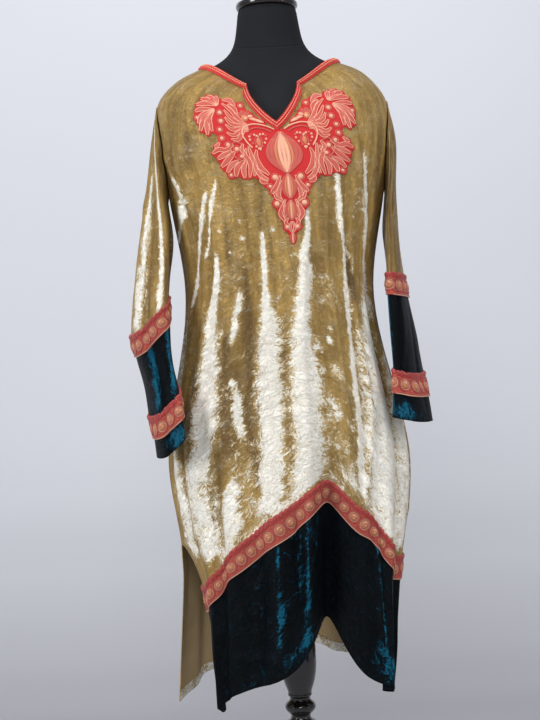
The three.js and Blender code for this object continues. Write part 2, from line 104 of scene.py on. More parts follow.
class Shades:
    """Adds nodes to a material or to a node group, and joins them."""

    def __init__(self, tree):
        self.tree = tree

    def add(self, kind, inputs=None, **settings):
        node = self.tree.nodes.new(kind if kind.startswith("Node") else "ShaderNode" + kind)
        for key, value in settings.items():
            setattr(node, key, value)
        for key, value in (inputs or {}).items():
            self.plug(node.inputs[key], value)
        return node

    def take(self, kind, inputs=None, output=0, **settings):
        """Adds a node and gives one of its outputs."""
        return self.add(kind, inputs, **settings).outputs[output]

    def plug(self, socket, value):
        if isinstance(value, bpy.types.NodeSocket):
            self.tree.links.new(value, socket)
        else:
            socket.default_value = (*value, 1) if socket.type == "RGBA" else value

    def math(self, operation, *values, clamp=False):
        node = self.add("Math", operation=operation, use_clamp=clamp)
        for socket, value in zip(node.inputs, values):
            self.plug(socket, value)
        return node.outputs[0]

    def chain(self, operation, total, *rest):
        for value in rest:
            total = self.math(operation, total, value)
        return total

    def plus(self, *values):
        return self.chain("ADD", *values)

    def times(self, *values):
        return self.chain("MULTIPLY", *values)

    def swing(self, field, middle, strength):
        return self.times(self.math("SUBTRACT", field, middle), strength)

    def off(self, field, middle):
        return self.math("ABSOLUTE", self.math("SUBTRACT", field, middle))

    def mix(self, share, low, high):
        return self.take("Mix", {0: share, 6: low, 7: high}, 2, data_type="RGBA", clamp_factor=True)

    def step(self, value, low, high, to_low=0.0, to_high=1.0):
        inputs = {"Value": value, "From Min": low, "From Max": high, "To Min": to_low, "To Max": to_high}
        return self.take("MapRange", inputs, interpolation_type="SMOOTHSTEP")

    def noise(self, vector, scale, detail=2.0, roughness=0.5):
        return self.take("TexNoise", {"Vector": vector, "Scale": scale, "Detail": detail, "Roughness": roughness})

    def wave(self, vector, scale, distortion=0.0, detail=2.0, **settings):
        inputs = {"Vector": vector, "Scale": scale, "Distortion": distortion, "Detail": detail}
        return self.take("TexWave", inputs, 1, **settings)

    def stretch(self, vector, x, y, z):
        return self.take("Mapping", {"Vector": vector, "Scale": (x, y, z)})

    def spin(self, vector, angle):
        return self.take("Mapping", {"Vector": vector, "Rotation": (0, 0, angle)})

    def place(self):
        return self.take("TexCoord", output="Object")

    def uv(self):
        return self.take("UVMap", uv_map="UVMap")

    def field(self, name):
        return self.take("Attribute", output="Fac", attribute_name=name)

    def dress(self, look, relief=None):
        """Gives the surface its inputs, and its relief as a strength, a distance in metres and a height."""
        if relief:
            look["Normal"] = self.take("Bump", dict(zip(("Strength", "Distance", "Height"), relief)))
        for key, value in look.items():
            self.plug(self.surface.inputs[key], value)
        return self.material


def new_material(name):
    """The nodes of a new material, which is made with dress()."""
    material = bpy.data.materials.new(name)
    material.use_nodes = True
    material.node_tree.nodes.clear()
    shades = Shades(material.node_tree)
    shades.material, shades.surface = material, shades.add("BsdfPrincipled")
    shades.output = shades.add("OutputMaterial", {"Surface": shades.surface.outputs[0]})
    return shades


def lacquer():
    """Black lacquer over turned wood: deep gloss, faint turning rings and a little dust and wear."""
    shades = new_material("black lacquer")
    place = shades.place()
    rings = shades.noise(shades.stretch(place, 6, 6, 500), 1.0, 3.0)
    cloud = shades.noise(place, 14.0, 4.0)
    wear = shades.step(shades.noise(place, 60.0, 5.0, 0.7), 0.62, 0.74)
    base = shades.mix(shades.times(cloud, 0.35), (0.006, 0.005, 0.005), (0.03, 0.024, 0.02))
    rough = shades.plus(shades.times(cloud, 0.16), shades.times(wear, 0.18), 0.1)
    look = {"Base Color": base, "Roughness": rough, "Coat Weight": 0.6, "Coat Roughness": 0.08}
    return shades.dress(look, (0.12, 0.0006, rings))


BLACK_LACQUER = lacquer()


def place_piece(piece, body, slot, material, *nodes):
    """Gives a finished piece its material and its body, and hides the solids that it stands for. The slot is not used.
    """
    if material is not None:
        piece.data.materials.clear()
        piece.data.materials.append(material)
    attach(piece, body)
    if nodes:
        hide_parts(*nodes)


foot = turned("stand_foot", FOOT_PROFILE, sides=64, levels=1)
place_piece(foot, "stand", "black_lacquer", BLACK_LACQUER, "stand_base")

# The post is one length of hardwood turned into a vase, beads and hollows, and lacquered like the foot. Its collar
# carries the form, which turns on the spigot above.
POST_PROFILE = [
    (44, 34.3), (46, 34.5), (47.5, 37), (47.5, 41), (45, 43), (38, 50), (30, 56), (26, 62), (24, 66), (24, 71),
    (26, 80), (30, 92), (34, 108), (36, 124), (35.5, 140), (33, 158), (29, 178), (25.5, 200), (23, 216), (20.5, 232),
    (20, 236), (23, 238), (23.5, 241), (21.5, 244), (26.5, 247), (29.5, 252), (31, 259), (29.5, 266), (25, 271),
    (18.5, 274), (17, 278), (17, 281), (20, 284.5), (24.5, 288), (27.5, 293.5), (27, 299), (23.5, 303.5), (19, 306.5),
    (17.8, 309), (18, 312.5), (21.5, 315), (21.5, 318), (20, 320), (24, 330), (28, 342), (31, 358), (32, 374),
    (31.5, 396), (30, 430), (28, 465), (25, 515), (22.5, 580), (21.5, 630), (22, 670), (24, 690), (30, 698), (33, 702),
    (35, 709), (34.5, 718), (31, 724), (29, 729), (37, 733), (38.5, 736), (38.5, 749), (38, 751.4), (13.2, 751.5),
    (13, 753), (13, 874), (12.5, 879), (9, 880),
]
post = turned("stand_post_turned", POST_PROFILE, sides=32)
place_piece(post, "stand", "black_lacquer", BLACK_LACQUER, "stand_post")

# The form is a limbless torso with a round neck: a light shell under a cover of black cotton jersey, stretched
# smooth and seamed round the foot of the neck.
pick(frame["nodes"]["form_torso"])
bpy.ops.object.duplicate()
torso = bpy.context.object
torso.name = "form_cover"
torso.data.materials.clear()
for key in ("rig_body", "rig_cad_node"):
    if key in torso:
        del torso[key]
bpy.ops.object.mode_set(mode="EDIT")
bpy.ops.mesh.select_all(action="SELECT")
bpy.ops.mesh.remove_doubles(threshold=1e-5)
bpy.ops.mesh.tris_convert_to_quads(face_threshold=1.2, shape_threshold=1.2)
bpy.ops.mesh.select_all(action="DESELECT")
bpy.ops.mesh.edges_select_sharp(sharpness=math.radians(60))
bpy.ops.transform.edge_crease(value=0.9)
bpy.ops.object.mode_set(mode="OBJECT")
shape_by(torso, "SUBSURF", levels=2, render_levels=2)
bpy.ops.object.shade_smooth_by_angle(angle=math.radians(50))


def jersey():
    """Black cotton jersey: matte, fine vertical ribs of knit, a little lint, and a seam round the neck."""
    shades = new_material("black jersey")
    place = shades.place()
    knit = shades.noise(shades.stretch(place, 900, 900, 350), 1.0)
    lint = shades.step(shades.noise(place, 420.0, 3.0, 0.8), 0.66, 0.78)
    base = shades.mix(shades.noise(place, 9.0, 3.0), (0.006, 0.007, 0.009), (0.014, 0.015, 0.018))
    base = shades.mix(shades.times(lint, 0.12), base, (0.1, 0.1, 0.11))
    parts = shades.add("SeparateXYZ", {"Vector": place}).outputs
    seam_height = shades.plus(shades.times(parts["Y"], 0.28), 1.452)
    seam = shades.step(shades.off(parts["Z"], seam_height), 0.0004, 0.0022)
    height = shades.plus(shades.times(knit, 0.25), seam)
    return shades.dress({"Base Color": base, "Roughness": 0.85, "Specular IOR Level": 0.2}, (0.6, 0.0009, height))


place_piece(torso, "form", "black_jersey", jersey(), "form_torso")

# The neck ends in a turned wooden cap, lacquered black like the post. A pale grey plastic boss is pressed into the
# middle of the cap.
CAP_PROFILE = [
    (49, 1514.4), (50, 1514.4), (52.5, 1515.5), (54, 1518), (54.3, 1520.5), (54, 1523.5), (52.5, 1526), (50, 1527),
    (36, 1527.1), (35, 1526.4), (34, 1526.2), (20, 1526.2),
]
BOSS_PROFILE = [
    (32, 1527.3), (33, 1527.6), (33.2, 1530), (33, 1536), (32, 1539.5), (29.5, 1542.5), (26, 1544.2), (18, 1545),
    (9, 1545),
]
cap = turned("form_cap", CAP_PROFILE)
place_piece(cap, "form", "black_lacquer", BLACK_LACQUER, "form_neck_cap")


def grey_plastic():
    """Pale grey moulded plastic with a soft gloss and light scuffs."""
    shades = new_material("grey plastic")
    scuff = shades.step(shades.noise(shades.stretch(shades.place(), 60, 60, 200), 1.0, 4.0, 0.7), 0.58, 0.7)
    base = shades.mix(scuff, (0.5, 0.52, 0.56), (0.42, 0.43, 0.47))
    return shades.dress({"Base Color": base, "Roughness": shades.step(scuff, 0.0, 1.0, 0.28, 0.5)})


boss = turned("form_boss", BOSS_PROFILE)
place_piece(boss, "form", "grey_plastic", grey_plastic(), "form_neck_boss")

# The front of the garment is cut from gold crushed velvet, with a round neck and a slit, and ends at the hem band.
# It hangs from the shoulders in long uneven folds. Its light and dark are painted into the velvet's colour: painted
# highlights down the folds and painted shade in them.
LEVELS = {  # the side lines, the front's middle and the back's, for each distance down from the neck point (mm)
    "down": (0, 56, 107, 190, 273, 463, 726, 876, 938, 1141),
    "leftX": (-111, -166, -199, -201, -186, -166, -208, -194, -189, -199),
    "leftZ": (1418, 1392, 1353, 1272, 1190, 1002, 742, 590, 528, 322),
    "rightX": (111, 164, 200, 203, 189, 163, 211, 203, 197, 184),
    "rightZ": (1418, 1393, 1345, 1268, 1188, 1002, 742, 602, 546, 340),
    "frontX": (2, 4, 6, 12, 17, 26, 34, 38, 40, 46),
    "frontY": (-78, -101, -119, -136, -147, -154, -162, -168, -170, -166),
    "frontZ": (1358, 1326, 1290, 1238, 1182, 1045, 862, 722, 660, 385),
    "backY": (60, 84, 102, 116, 124, 132, 142, 148, 150, 150),
    "backZ": (1430, 1398, 1352, 1276, 1198, 1012, 762, 618, 560, 378),
}
# Distances down from the neck point are in mm, and places across a panel are shares of its width.
HEM = 1141
TIP = 107  # the shoulder tip, where the armhole starts
ARMPIT = 273
ARMHOLE = 0.105  # how far the armhole cuts into the panel
SLIT = {"left": 876, "right": 846}
V_HALF = 0.125
V_DEPTH = 95
BAND = 38
SEAM_ROW = 902
SEAM_LINE = (  # for each place across: how far the hem seam hangs below its row
    (0, 0.18, 0.3, 0.4, 0.47, 0.53, 0.57, 0.62, 0.68, 0.75, 0.86, 1),
    (40, 46, 38, 31, 29, 29, 29, 24, 15, 32, 26, 20),
)
SWING = {  # how far each free edge has swung at the hem
    "front": {
        "left": (72, -100, 0),
        "right": (-26, -84, 0),
        "hold": 0.34,
    },
    "back": {
        "left": (-14, 22, -14),
        "right": (-22, 30, 12),
        "hold": 0.3,
    },
}
FOLDS = {  # the largest folds: at, drift, width, depth, from, full, hem, lift
    "front": (
        (0.2, -0.01, 0.034, 8, 330, 700, 4, 0), (0.285, 0, 0.032, 13, 260, 560, 2, 0),
        (0.4, -0.015, 0.03, 10, 240, 520, 6, 0), (0.49, -0.01, 0.03, 11, 330, 620, 10, 0),
        (0.55, -0.02, 0.072, 4, 420, 760, -66, 85), (0.72, 0.03, 0.034, 12, 300, 640, 10, 0),
        (0.83, 0.02, 0.04, -8, 330, 700, -8, 0),
    ),
    "back": (
        (0.2, 0.02, 0.045, 12, 330, 800, 8, 0), (0.34, 0.01, 0.04, -9, 300, 760, -12, 0),
        (0.5, 0, 0.05, 14, 260, 700, 10, 0), (0.66, -0.01, 0.04, -10, 300, 780, -12, 0),
        (0.8, -0.02, 0.045, 12, 340, 800, 8, 0),
    ),
}
# Creases, given one by one: from one place (share across, mm down) to another, with a width and a depth in mm.
FRONT_CREASES = [
    (0.3, 215, 0.235, 520, 7, 5), (0.262, 240, 0.2, 500, 6, 4.5), (0.215, 480, 0.225, 880, 13, 6),
    (0.3, 420, 0.262, 960, 8, -6), (0.175, 330, 0.155, 880, 10, -6), (0.128, 300, 0.12, 900, 9, 4.5),
    (0.44, 235, 0.393, 915, 7, 6), (0.408, 300, 0.375, 900, 8, -4.5), (0.365, 250, 0.35, 900, 9, -6.5),
    (0.335, 330, 0.32, 800, 6, 4), (0.546, 290, 0.47, 905, 9, 6), (0.505, 330, 0.44, 880, 9, -5),
    (0.59, 300, 0.545, 900, 9, -5), (0.62, 300, 0.6, 800, 7, 3.5), (0.655, 240, 0.69, 480, 7, 5.5),
    (0.735, 330, 0.655, 915, 6, 7), (0.712, 400, 0.64, 900, 6, -5.5), (0.71, 160, 0.8, 380, 9, 6),
    (0.8, 380, 0.79, 660, 10, 5), (0.835, 380, 0.85, 900, 9, -5), (0.88, 330, 0.885, 880, 8, 4.5),
    (0.935, 300, 0.95, 860, 8, -4), (0.07, 330, 0.06, 860, 8, 4), (0.1, 200, 0.22, 330, 9, 5),
    (0.13, 215, 0.19, 400, 7, -4), (0.75, 170, 0.84, 330, 8, -4), (0.255, 170, 0.215, 290, 7, -3.5),
    (0.3, 190, 0.285, 300, 5, -3.5), (0.225, 120, 0.19, 260, 8, 3.5), (0.17, 110, 0.13, 240, 8, -3),
    (0.37, 470, 0.395, 640, 5, 2.5), (0.48, 420, 0.47, 560, 5, 2.5), (0.62, 220, 0.64, 420, 6, -3),
    (0.23, 60, 0.29, 200, 7, -2), (0.76, 60, 0.71, 210, 7, -2.5), (0.64, 560, 0.69, 700, 6, 2.5),
    (0.68, 480, 0.74, 640, 7, -3), (0.56, 640, 0.61, 760, 6, 2.5), (0.3, 640, 0.27, 790, 6, 3),
    (0.5, 560, 0.56, 700, 5, 2), (0.58, 780, 0.62, 900, 6, 2.5), (0.35, 840, 0.32, 930, 7, 3),
]
# Painted highlights: cream bands painted down the folds. A strength, then places down each band (share across, mm down,
# half width in mm).
FRONT_HIGHLIGHTS = [
    (1.1, (0.269, 268, 3), (0.248, 306, 5), (0.224, 342, 5), (0.196, 377, 5), (0.178, 399, 4), (0.15, 443, 4),
     (0.128, 475, 3)),
    (1, (0.307, 243, 2), (0.285, 287, 4), (0.269, 327, 3), (0.25, 363, 3), (0.224, 399, 2)),
    (1.1, (0.275, 392, 3), (0.271, 426, 4), (0.263, 453, 7), (0.244, 494, 10), (0.248, 553, 11), (0.25, 601, 14),
     (0.254, 652, 17), (0.253, 698, 17), (0.251, 732, 16), (0.242, 763, 12), (0.234, 799, 9)),
    (0.85, (0.24, 735, 14), (0.208, 787, 20), (0.206, 842, 23), (0.214, 877, 23), (0.216, 925, 18)),
    (1, (0.307, 827, 3), (0.301, 852, 10), (0.295, 879, 12), (0.287, 907, 13), (0.273, 930, 14), (0.262, 950, 12)),
    (0.9, (0.333, 479, 4), (0.331, 500, 6), (0.323, 527, 5), (0.321, 555, 5), (0.317, 588, 3)),
    (1, (0.323, 658, 3), (0.331, 687, 3), (0.333, 713, 4), (0.335, 755, 4), (0.341, 778, 4)),
    (1.1, (0.415, 365, 3), (0.411, 432, 4), (0.411, 472, 4), (0.411, 517, 6), (0.417, 557, 9), (0.415, 616, 13),
     (0.411, 671, 13), (0.411, 726, 14), (0.409, 772, 11), (0.405, 808, 12), (0.401, 835, 13), (0.391, 894, 15),
     (0.381, 925, 18)),
    (1.1, (0.551, 323, 4), (0.549, 377, 5), (0.533, 422, 8), (0.533, 466, 11), (0.521, 510, 11), (0.503, 571, 11),
     (0.499, 605, 11), (0.497, 664, 15), (0.497, 719, 17), (0.493, 778, 17), (0.491, 814, 17), (0.483, 863, 20),
     (0.477, 898, 21), (0.467, 925, 25)),
    (1.1, (0.653, 240, 5), (0.659, 299, 5), (0.665, 339, 5), (0.679, 375, 4), (0.687, 413, 4), (0.689, 451, 4),
     (0.689, 491, 5), (0.681, 533, 5), (0.665, 591, 5), (0.649, 647, 5), (0.641, 707, 5), (0.641, 765, 5),
     (0.641, 808, 6), (0.645, 900, 8)),
    (1, (0.762, 205, 6), (0.772, 247, 9), (0.78, 297, 10), (0.8, 342, 8), (0.816, 396, 8), (0.83, 430, 12),
     (0.835, 470, 14)),
    (0.96, (0.835, 440, 14), (0.812, 500, 24), (0.77, 572, 34), (0.75, 641, 38), (0.745, 706, 40), (0.74, 780, 46),
     (0.74, 850, 46), (0.745, 925, 40)),
    (1.1, (0.13, 232, 4), (0.15, 262, 9), (0.155, 289, 15), (0.134, 312, 12), (0.095, 338, 9), (0.06, 356, 6)),
    (0.88, (0.905, 560, 16), (0.893, 683, 24), (0.885, 765, 28), (0.88, 852, 30), (0.87, 915, 28)),
    (0.8, (0.115, 700, 6), (0.122, 761, 11), (0.132, 812, 14), (0.14, 900, 16)),
    (0.6, (0.06, 480, 10), (0.075, 560, 12), (0.08, 640, 8)),
]
# Mottled patches of painted highlight: place, half width and half height in mm, strength.
FRONT_HIGHLIGHT_PATCHES = [
    (0.577, 692, 24, 20, 0.46), (0.56, 770, 24, 34, 0.58), (0.563, 835, 28, 26, 0.44), (0.591, 880, 22, 34, 0.46),
    (0.549, 920, 30, 20, 0.54), (0.613, 884, 16, 34, 0.6), (0.579, 620, 6, 12, 0.85), (0.59, 592, 5, 8, 0.7),
    (0.533, 641, 12, 26, 0.58), (0.353, 337, 5, 6, 0.72), (0.353, 373, 5, 8, 0.78), (0.293, 350, 4, 6, 0.7),
    (0.445, 361, 5, 14, 0.7), (0.439, 523, 8, 18, 0.48), (0.339, 860, 20, 62, 0.44), (0.373, 939, 36, 20, 0.6),
    (0.206, 900, 24, 30, 0.66), (0.092, 523, 10, 44, 0.46), (0.609, 500, 30, 50, 0.3), (0.72, 400, 16, 60, 0.34),
    (0.33, 430, 18, 60, 0.22), (0.48, 470, 24, 120, 0.17), (0.34, 820, 26, 60, 0.3), (0.3, 700, 14, 80, 0.18),
    (0.73, 300, 12, 50, 0.3), (0.43, 930, 26, 14, 0.56), (0.16, 640, 16, 60, 0.22), (0.34, 300, 24, 50, 0.16),
    (0.62, 300, 26, 60, 0.16), (0.18, 200, 24, 40, 0.18),
]
# Painted shade on the dark sides of the folds: a strength, then places down each of them, as for the highlights.
FRONT_FOLD_SHADE = [
    (0.9, (0.301, 560, 5), (0.305, 624, 10), (0.309, 671, 12), (0.309, 719, 12), (0.309, 765, 10), (0.299, 800, 8)),
    (0.9, (0.35, 430, 3), (0.355, 510, 5), (0.359, 569, 7), (0.361, 635, 8), (0.359, 696, 8), (0.357, 770, 7),
     (0.363, 833, 5), (0.357, 870, 4)),
    (0.9, (0.289, 770, 5), (0.283, 803, 8), (0.271, 831, 8), (0.25, 858, 7), (0.236, 885, 4)),
    (1.2, (0.705, 400, 3), (0.709, 422, 4), (0.713, 466, 8), (0.709, 500, 5)),
    (0.6, (0.315, 330, 3), (0.311, 352, 3), (0.303, 413, 3)), (0.7, (0.431, 225, 2), (0.421, 306, 3), (0.411, 360, 2)),
    (0.7, (0.244, 150, 6), (0.236, 188, 10), (0.2, 232, 9)), (0.35, (0.18, 90, 16), (0.15, 160, 22), (0.14, 220, 16)),
    (0.8, (0.19, 500, 8), (0.2, 591, 8), (0.208, 649, 9), (0.2, 710, 9)),
    (0.4, (0.603, 240, 5), (0.606, 300, 6), (0.611, 388, 5)), (0.7, (0.85, 150, 6), (0.845, 230, 7), (0.86, 300, 6)),
    (1.2, (0.03, 270, 12), (0.03, 450, 16), (0.035, 620, 8)), (1.2, (0.965, 330, 10), (0.965, 540, 11)),
    (0.5, (0.455, 560, 5), (0.452, 660, 7), (0.448, 760, 7), (0.44, 870, 5)),
    (0.4, (0.59, 420, 8), (0.585, 480, 9), (0.575, 560, 8)), (0.5, (0.69, 190, 4), (0.735, 265, 5), (0.752, 330, 5)),
    (0.8, (0.69, 640, 3), (0.682, 700, 3), (0.676, 760, 2)),
]


def glide(keys, values, at):
    """A column of a table at any place along its key, on a smooth line through the rows."""
    keys, values = np.asarray(keys, float), np.asarray(values, float)
    at = np.clip(at, keys[0], keys[-1])
    i = np.clip(np.searchsorted(keys, at, side="right") - 1, 0, len(keys) - 2)
    wide = (slice(None),) + (None,) * (values.ndim - 1)
    slope = np.empty_like(values)
    slope[1:-1] = (values[2:] - values[:-2]) / (keys[2:] - keys[:-2])[wide]
    slope[0] = (values[1] - values[0]) / (keys[1] - keys[0])
    slope[-1] = (values[-1] - values[-2]) / (keys[-1] - keys[-2])
    shape = at.shape + (1,) * (values.ndim - 1)
    gap = (keys[i + 1] - keys[i]).reshape(shape)
    s = (at - keys[i]).reshape(shape) / gap
    ends = values[i] * (2 * s**3 - 3 * s**2 + 1) + values[i + 1] * (3 * s**2 - 2 * s**3)
    return ends + gap * (slope[i] * (s**3 - 2 * s**2 + s) + slope[i + 1] * (s**3 - s**2))


def ease(low, high, value):
    share = np.clip((value - low) / (high - low), 0, 1)
    return share * share * (3 - 2 * share)


def creased(creases, across, down, span, wrap=False):
    """Height of the creases in mm."""
    height = np.zeros(np.shape(across))
    for a0, d0, a1, d1, width, rise in creases:
        for turn in (-1, 0, 1) if wrap else (0,):
            ax, dx = (across - a0 + turn) * span, (a1 - a0) * span
            ay, dy = down - d0, d1 - d0
            long = math.hypot(dx, dy)
            t = np.clip((ax * dx + ay * dy) / long**2, 0, 1)
            side = (ax * dy - ay * dx) / long + 0.35 * width * np.sin(t * 9 + a0 * 40 + turn)
            past = np.hypot(ax - t * dx, ay - t * dy) ** 2 - ((ax * dy - ay * dx) / long) ** 2
            taper = np.sin(math.pi * (0.02 + 0.96 * t)) ** 0.6 * np.exp(-np.maximum(past, 0) / width**2)
            height += rise * np.exp(-((side / width) ** 2)) * taper
    return height


def banded(bands, across, down, span, wrap=False):
    """Strength of the bands at each place, from 0 to 1."""
    field = np.zeros(np.shape(across))
    for strength, *rows in bands:
        middle, at, width = np.array(rows).T
        low, high = at[0], at[-1]
        off = across - glide(at, middle, down)
        off = np.abs((off + 0.5) % 1 - 0.5 if wrap else off) * span
        ends = ease(low - 14, low + 14, down) * (1 - ease(high - 14, high + 14, down))
        field = np.maximum(field, strength * ends * np.exp(-((off / (glide(at, width, down) * 1.25)) ** 2)))
    return field


def pile(bright, mixed, dark, across, down, span, wrap=False):
    """The painted highlights at each place, from the bands and the patches, and the painted shade of the folds there.
    """
    light = banded(bright, across, down, span, wrap)
    for a, d, wide, high, strength in mixed:
        off = (across - a + 0.5) % 1 - 0.5 if wrap else across - a
        light = np.maximum(light, strength * np.exp(-(((off * span / wide) ** 2 + ((down - d) / high) ** 2) ** 1.5)))
    return light, banded(dark, across, down, span, wrap)


CREASES = {"front": FRONT_CREASES, "back": []}
PAINTED_LIGHT = {"front": (FRONT_HIGHLIGHTS, FRONT_HIGHLIGHT_PATCHES, FRONT_FOLD_SHADE), "back": ([], [], [])}
SPAN = 520  # mm across a panel laid flat, for its creases and its painted light


def body(face, across, down):
    """Points of the front or the back in mm."""

    def level(column):
        return glide(LEVELS["down"], LEVELS[column], down)

    turn, facing = np.pi * across, -1 if face == "front" else 1
    arch = np.sin(turn) ** 3
    share = (1 - np.cos(turn)) / 2
    x = level("leftX") * (1 - share) + level("rightX") * share + (level("frontX") * arch if face == "front" else 0)
    y = level(face + "Y") * np.sin(turn)
    z = (level("leftZ") * (1 - share) + level("rightZ") * share) * (1 - arch) + level(face + "Z") * arch
    deep, lift = np.zeros_like(x), np.zeros_like(x)
    for at, drift, width, depth, start, full, hem, raised in FOLDS[face]:
        middle = at + drift * ease(start, HEM, down)
        part = np.exp(-(((across - middle) / width) ** 2))
        low = ease(700, HEM, down) ** 1.5
        deep += (depth * ease(start, full, down) + hem * low) * part
        lift += raised * low * part
    inner = ease(0, 0.1, np.minimum(across, 1 - across))
    fine = creased(CREASES[face], across, down, SPAN)
    deep = deep * inner + fine * ease(0, 0.03, np.minimum(across, 1 - across))
    x = x - np.cos(turn) * deep
    y = y + facing * (np.sin(turn) * deep + 0.3)
    z = z + lift * inner
    for side, edge in (("left", across), ("right", 1 - across)):
        hold = 1 - ease(0, SWING[face]["hold"], edge)
        swung = hold * np.clip((down - SLIT[side]) / (HEM - SLIT[side]), 0, 1) ** 0.6
        x, y, z = (v + s * swung for v, s in zip((x, y, z), SWING[face][side]))
    return np.stack([x, y, z], -1)


def along_panel(rows, columns, slit=False):
    """Places of a panel: rows in mm down and columns from side to side, cut out at the armholes and the slit."""
    row, column = np.meshgrid(np.asarray(rows, float), np.linspace(0, 1, columns + 1), indexing="ij")
    top = V_DEPTH * np.maximum(0, 1 - np.abs(column - 0.5) / V_HALF) if slit else 0 * column
    down = np.where(row < ARMPIT, top + row * (ARMPIT - top) / ARMPIT, row)
    share = np.clip((down - TIP) / (ARMPIT - TIP), 0, 1)
    opened = ARMHOLE * 2 * np.sqrt(share * (1 - share))
    return opened * (1 - column) + (1 - opened) * column, down


def follow_seam(across, down):
    share = np.where(down < SEAM_ROW, ease(600, SEAM_ROW, down), np.minimum(1, (HEM - down) / (HEM - SEAM_ROW - BAND)))
    return across, down + glide(*SEAM_LINE, across) * share


def skin(points, wrap=False):
    """Unit normals of a grid of points, turned away from the middle of the body, and -1 where that turned them."""
    along = np.roll(points, -1, 1) - np.roll(points, 1, 1) if wrap else np.gradient(points, axis=1)
    normals = np.cross(along, np.gradient(points, axis=0))
    normals /= np.maximum(np.linalg.norm(normals, axis=-1, keepdims=True), 1e-9)
    middle = points.reshape(-1, 3).mean(0) if wrap else 0
    way = 1 if np.sum(normals * (points - middle) * (1, 1, 0)) > 0 else -1
    return normals * way, way


def new_piece(name, points, faces, flat, fields):
    """A piece from points in mm and faces, with the flat place of every corner and its fields, a value a point."""
    mesh = bpy.data.meshes.new(name)
    mesh.from_pydata((points.reshape(-1, 3) / 1000).tolist(), [], faces)
    for key, value in fields.items():
        mesh.attributes.new(key, "FLOAT", "POINT").data.foreach_set("value", np.ravel(value).astype(np.float32))
    mesh.uv_layers.new(name="UVMap").data.foreach_set("uv", (np.ravel(flat) / 1000).astype(np.float32))
    piece = bpy.data.objects.new(name, mesh)
    bpy.context.scene.collection.objects.link(piece)
    pick(piece)
    return piece


def cloth(name, points, flat, thickness, right, wrong, wrap=False, lift=0.0, **fields):
    """A wall of cloth on a grid of points in mm: its right side lies on the points, its wrong side within."""
    rows, columns = points.shape[:2]
    normals, way = skin(points, wrap)
    r, c = np.meshgrid(np.arange(rows - 1), np.arange(columns if wrap else columns - 1), indexing="ij")
    first, second = r * columns + c, r * columns + (c + 1) % columns
    quads = np.stack([first, second, second + columns, first + columns], -1).reshape(-1, 4)[:, ::way]
    flat = np.stack([np.ravel(v) for v in flat], -1)[quads]
    if wrap:  # the last column closes on the first, so its far corners take the full way round
        widest = flat[..., 0].max()
        closing = flat[..., 0].max(1) - flat[..., 0].min(1) > 0.5 * widest
        flat[..., 0] += np.where(closing[:, None] & (flat[..., 0] < 0.25 * widest), widest * columns / (columns - 1), 0)
    piece = new_piece(name, points + normals * lift, quads.tolist(), flat, fields)
    piece.data.materials.append(right)
    piece.data.materials.append(wrong)
    shape_by(piece, "SOLIDIFY", thickness=thickness / 1000, offset=-1, use_quality_normals=True, material_offset=1)
    bpy.ops.object.shade_smooth()
    return piece


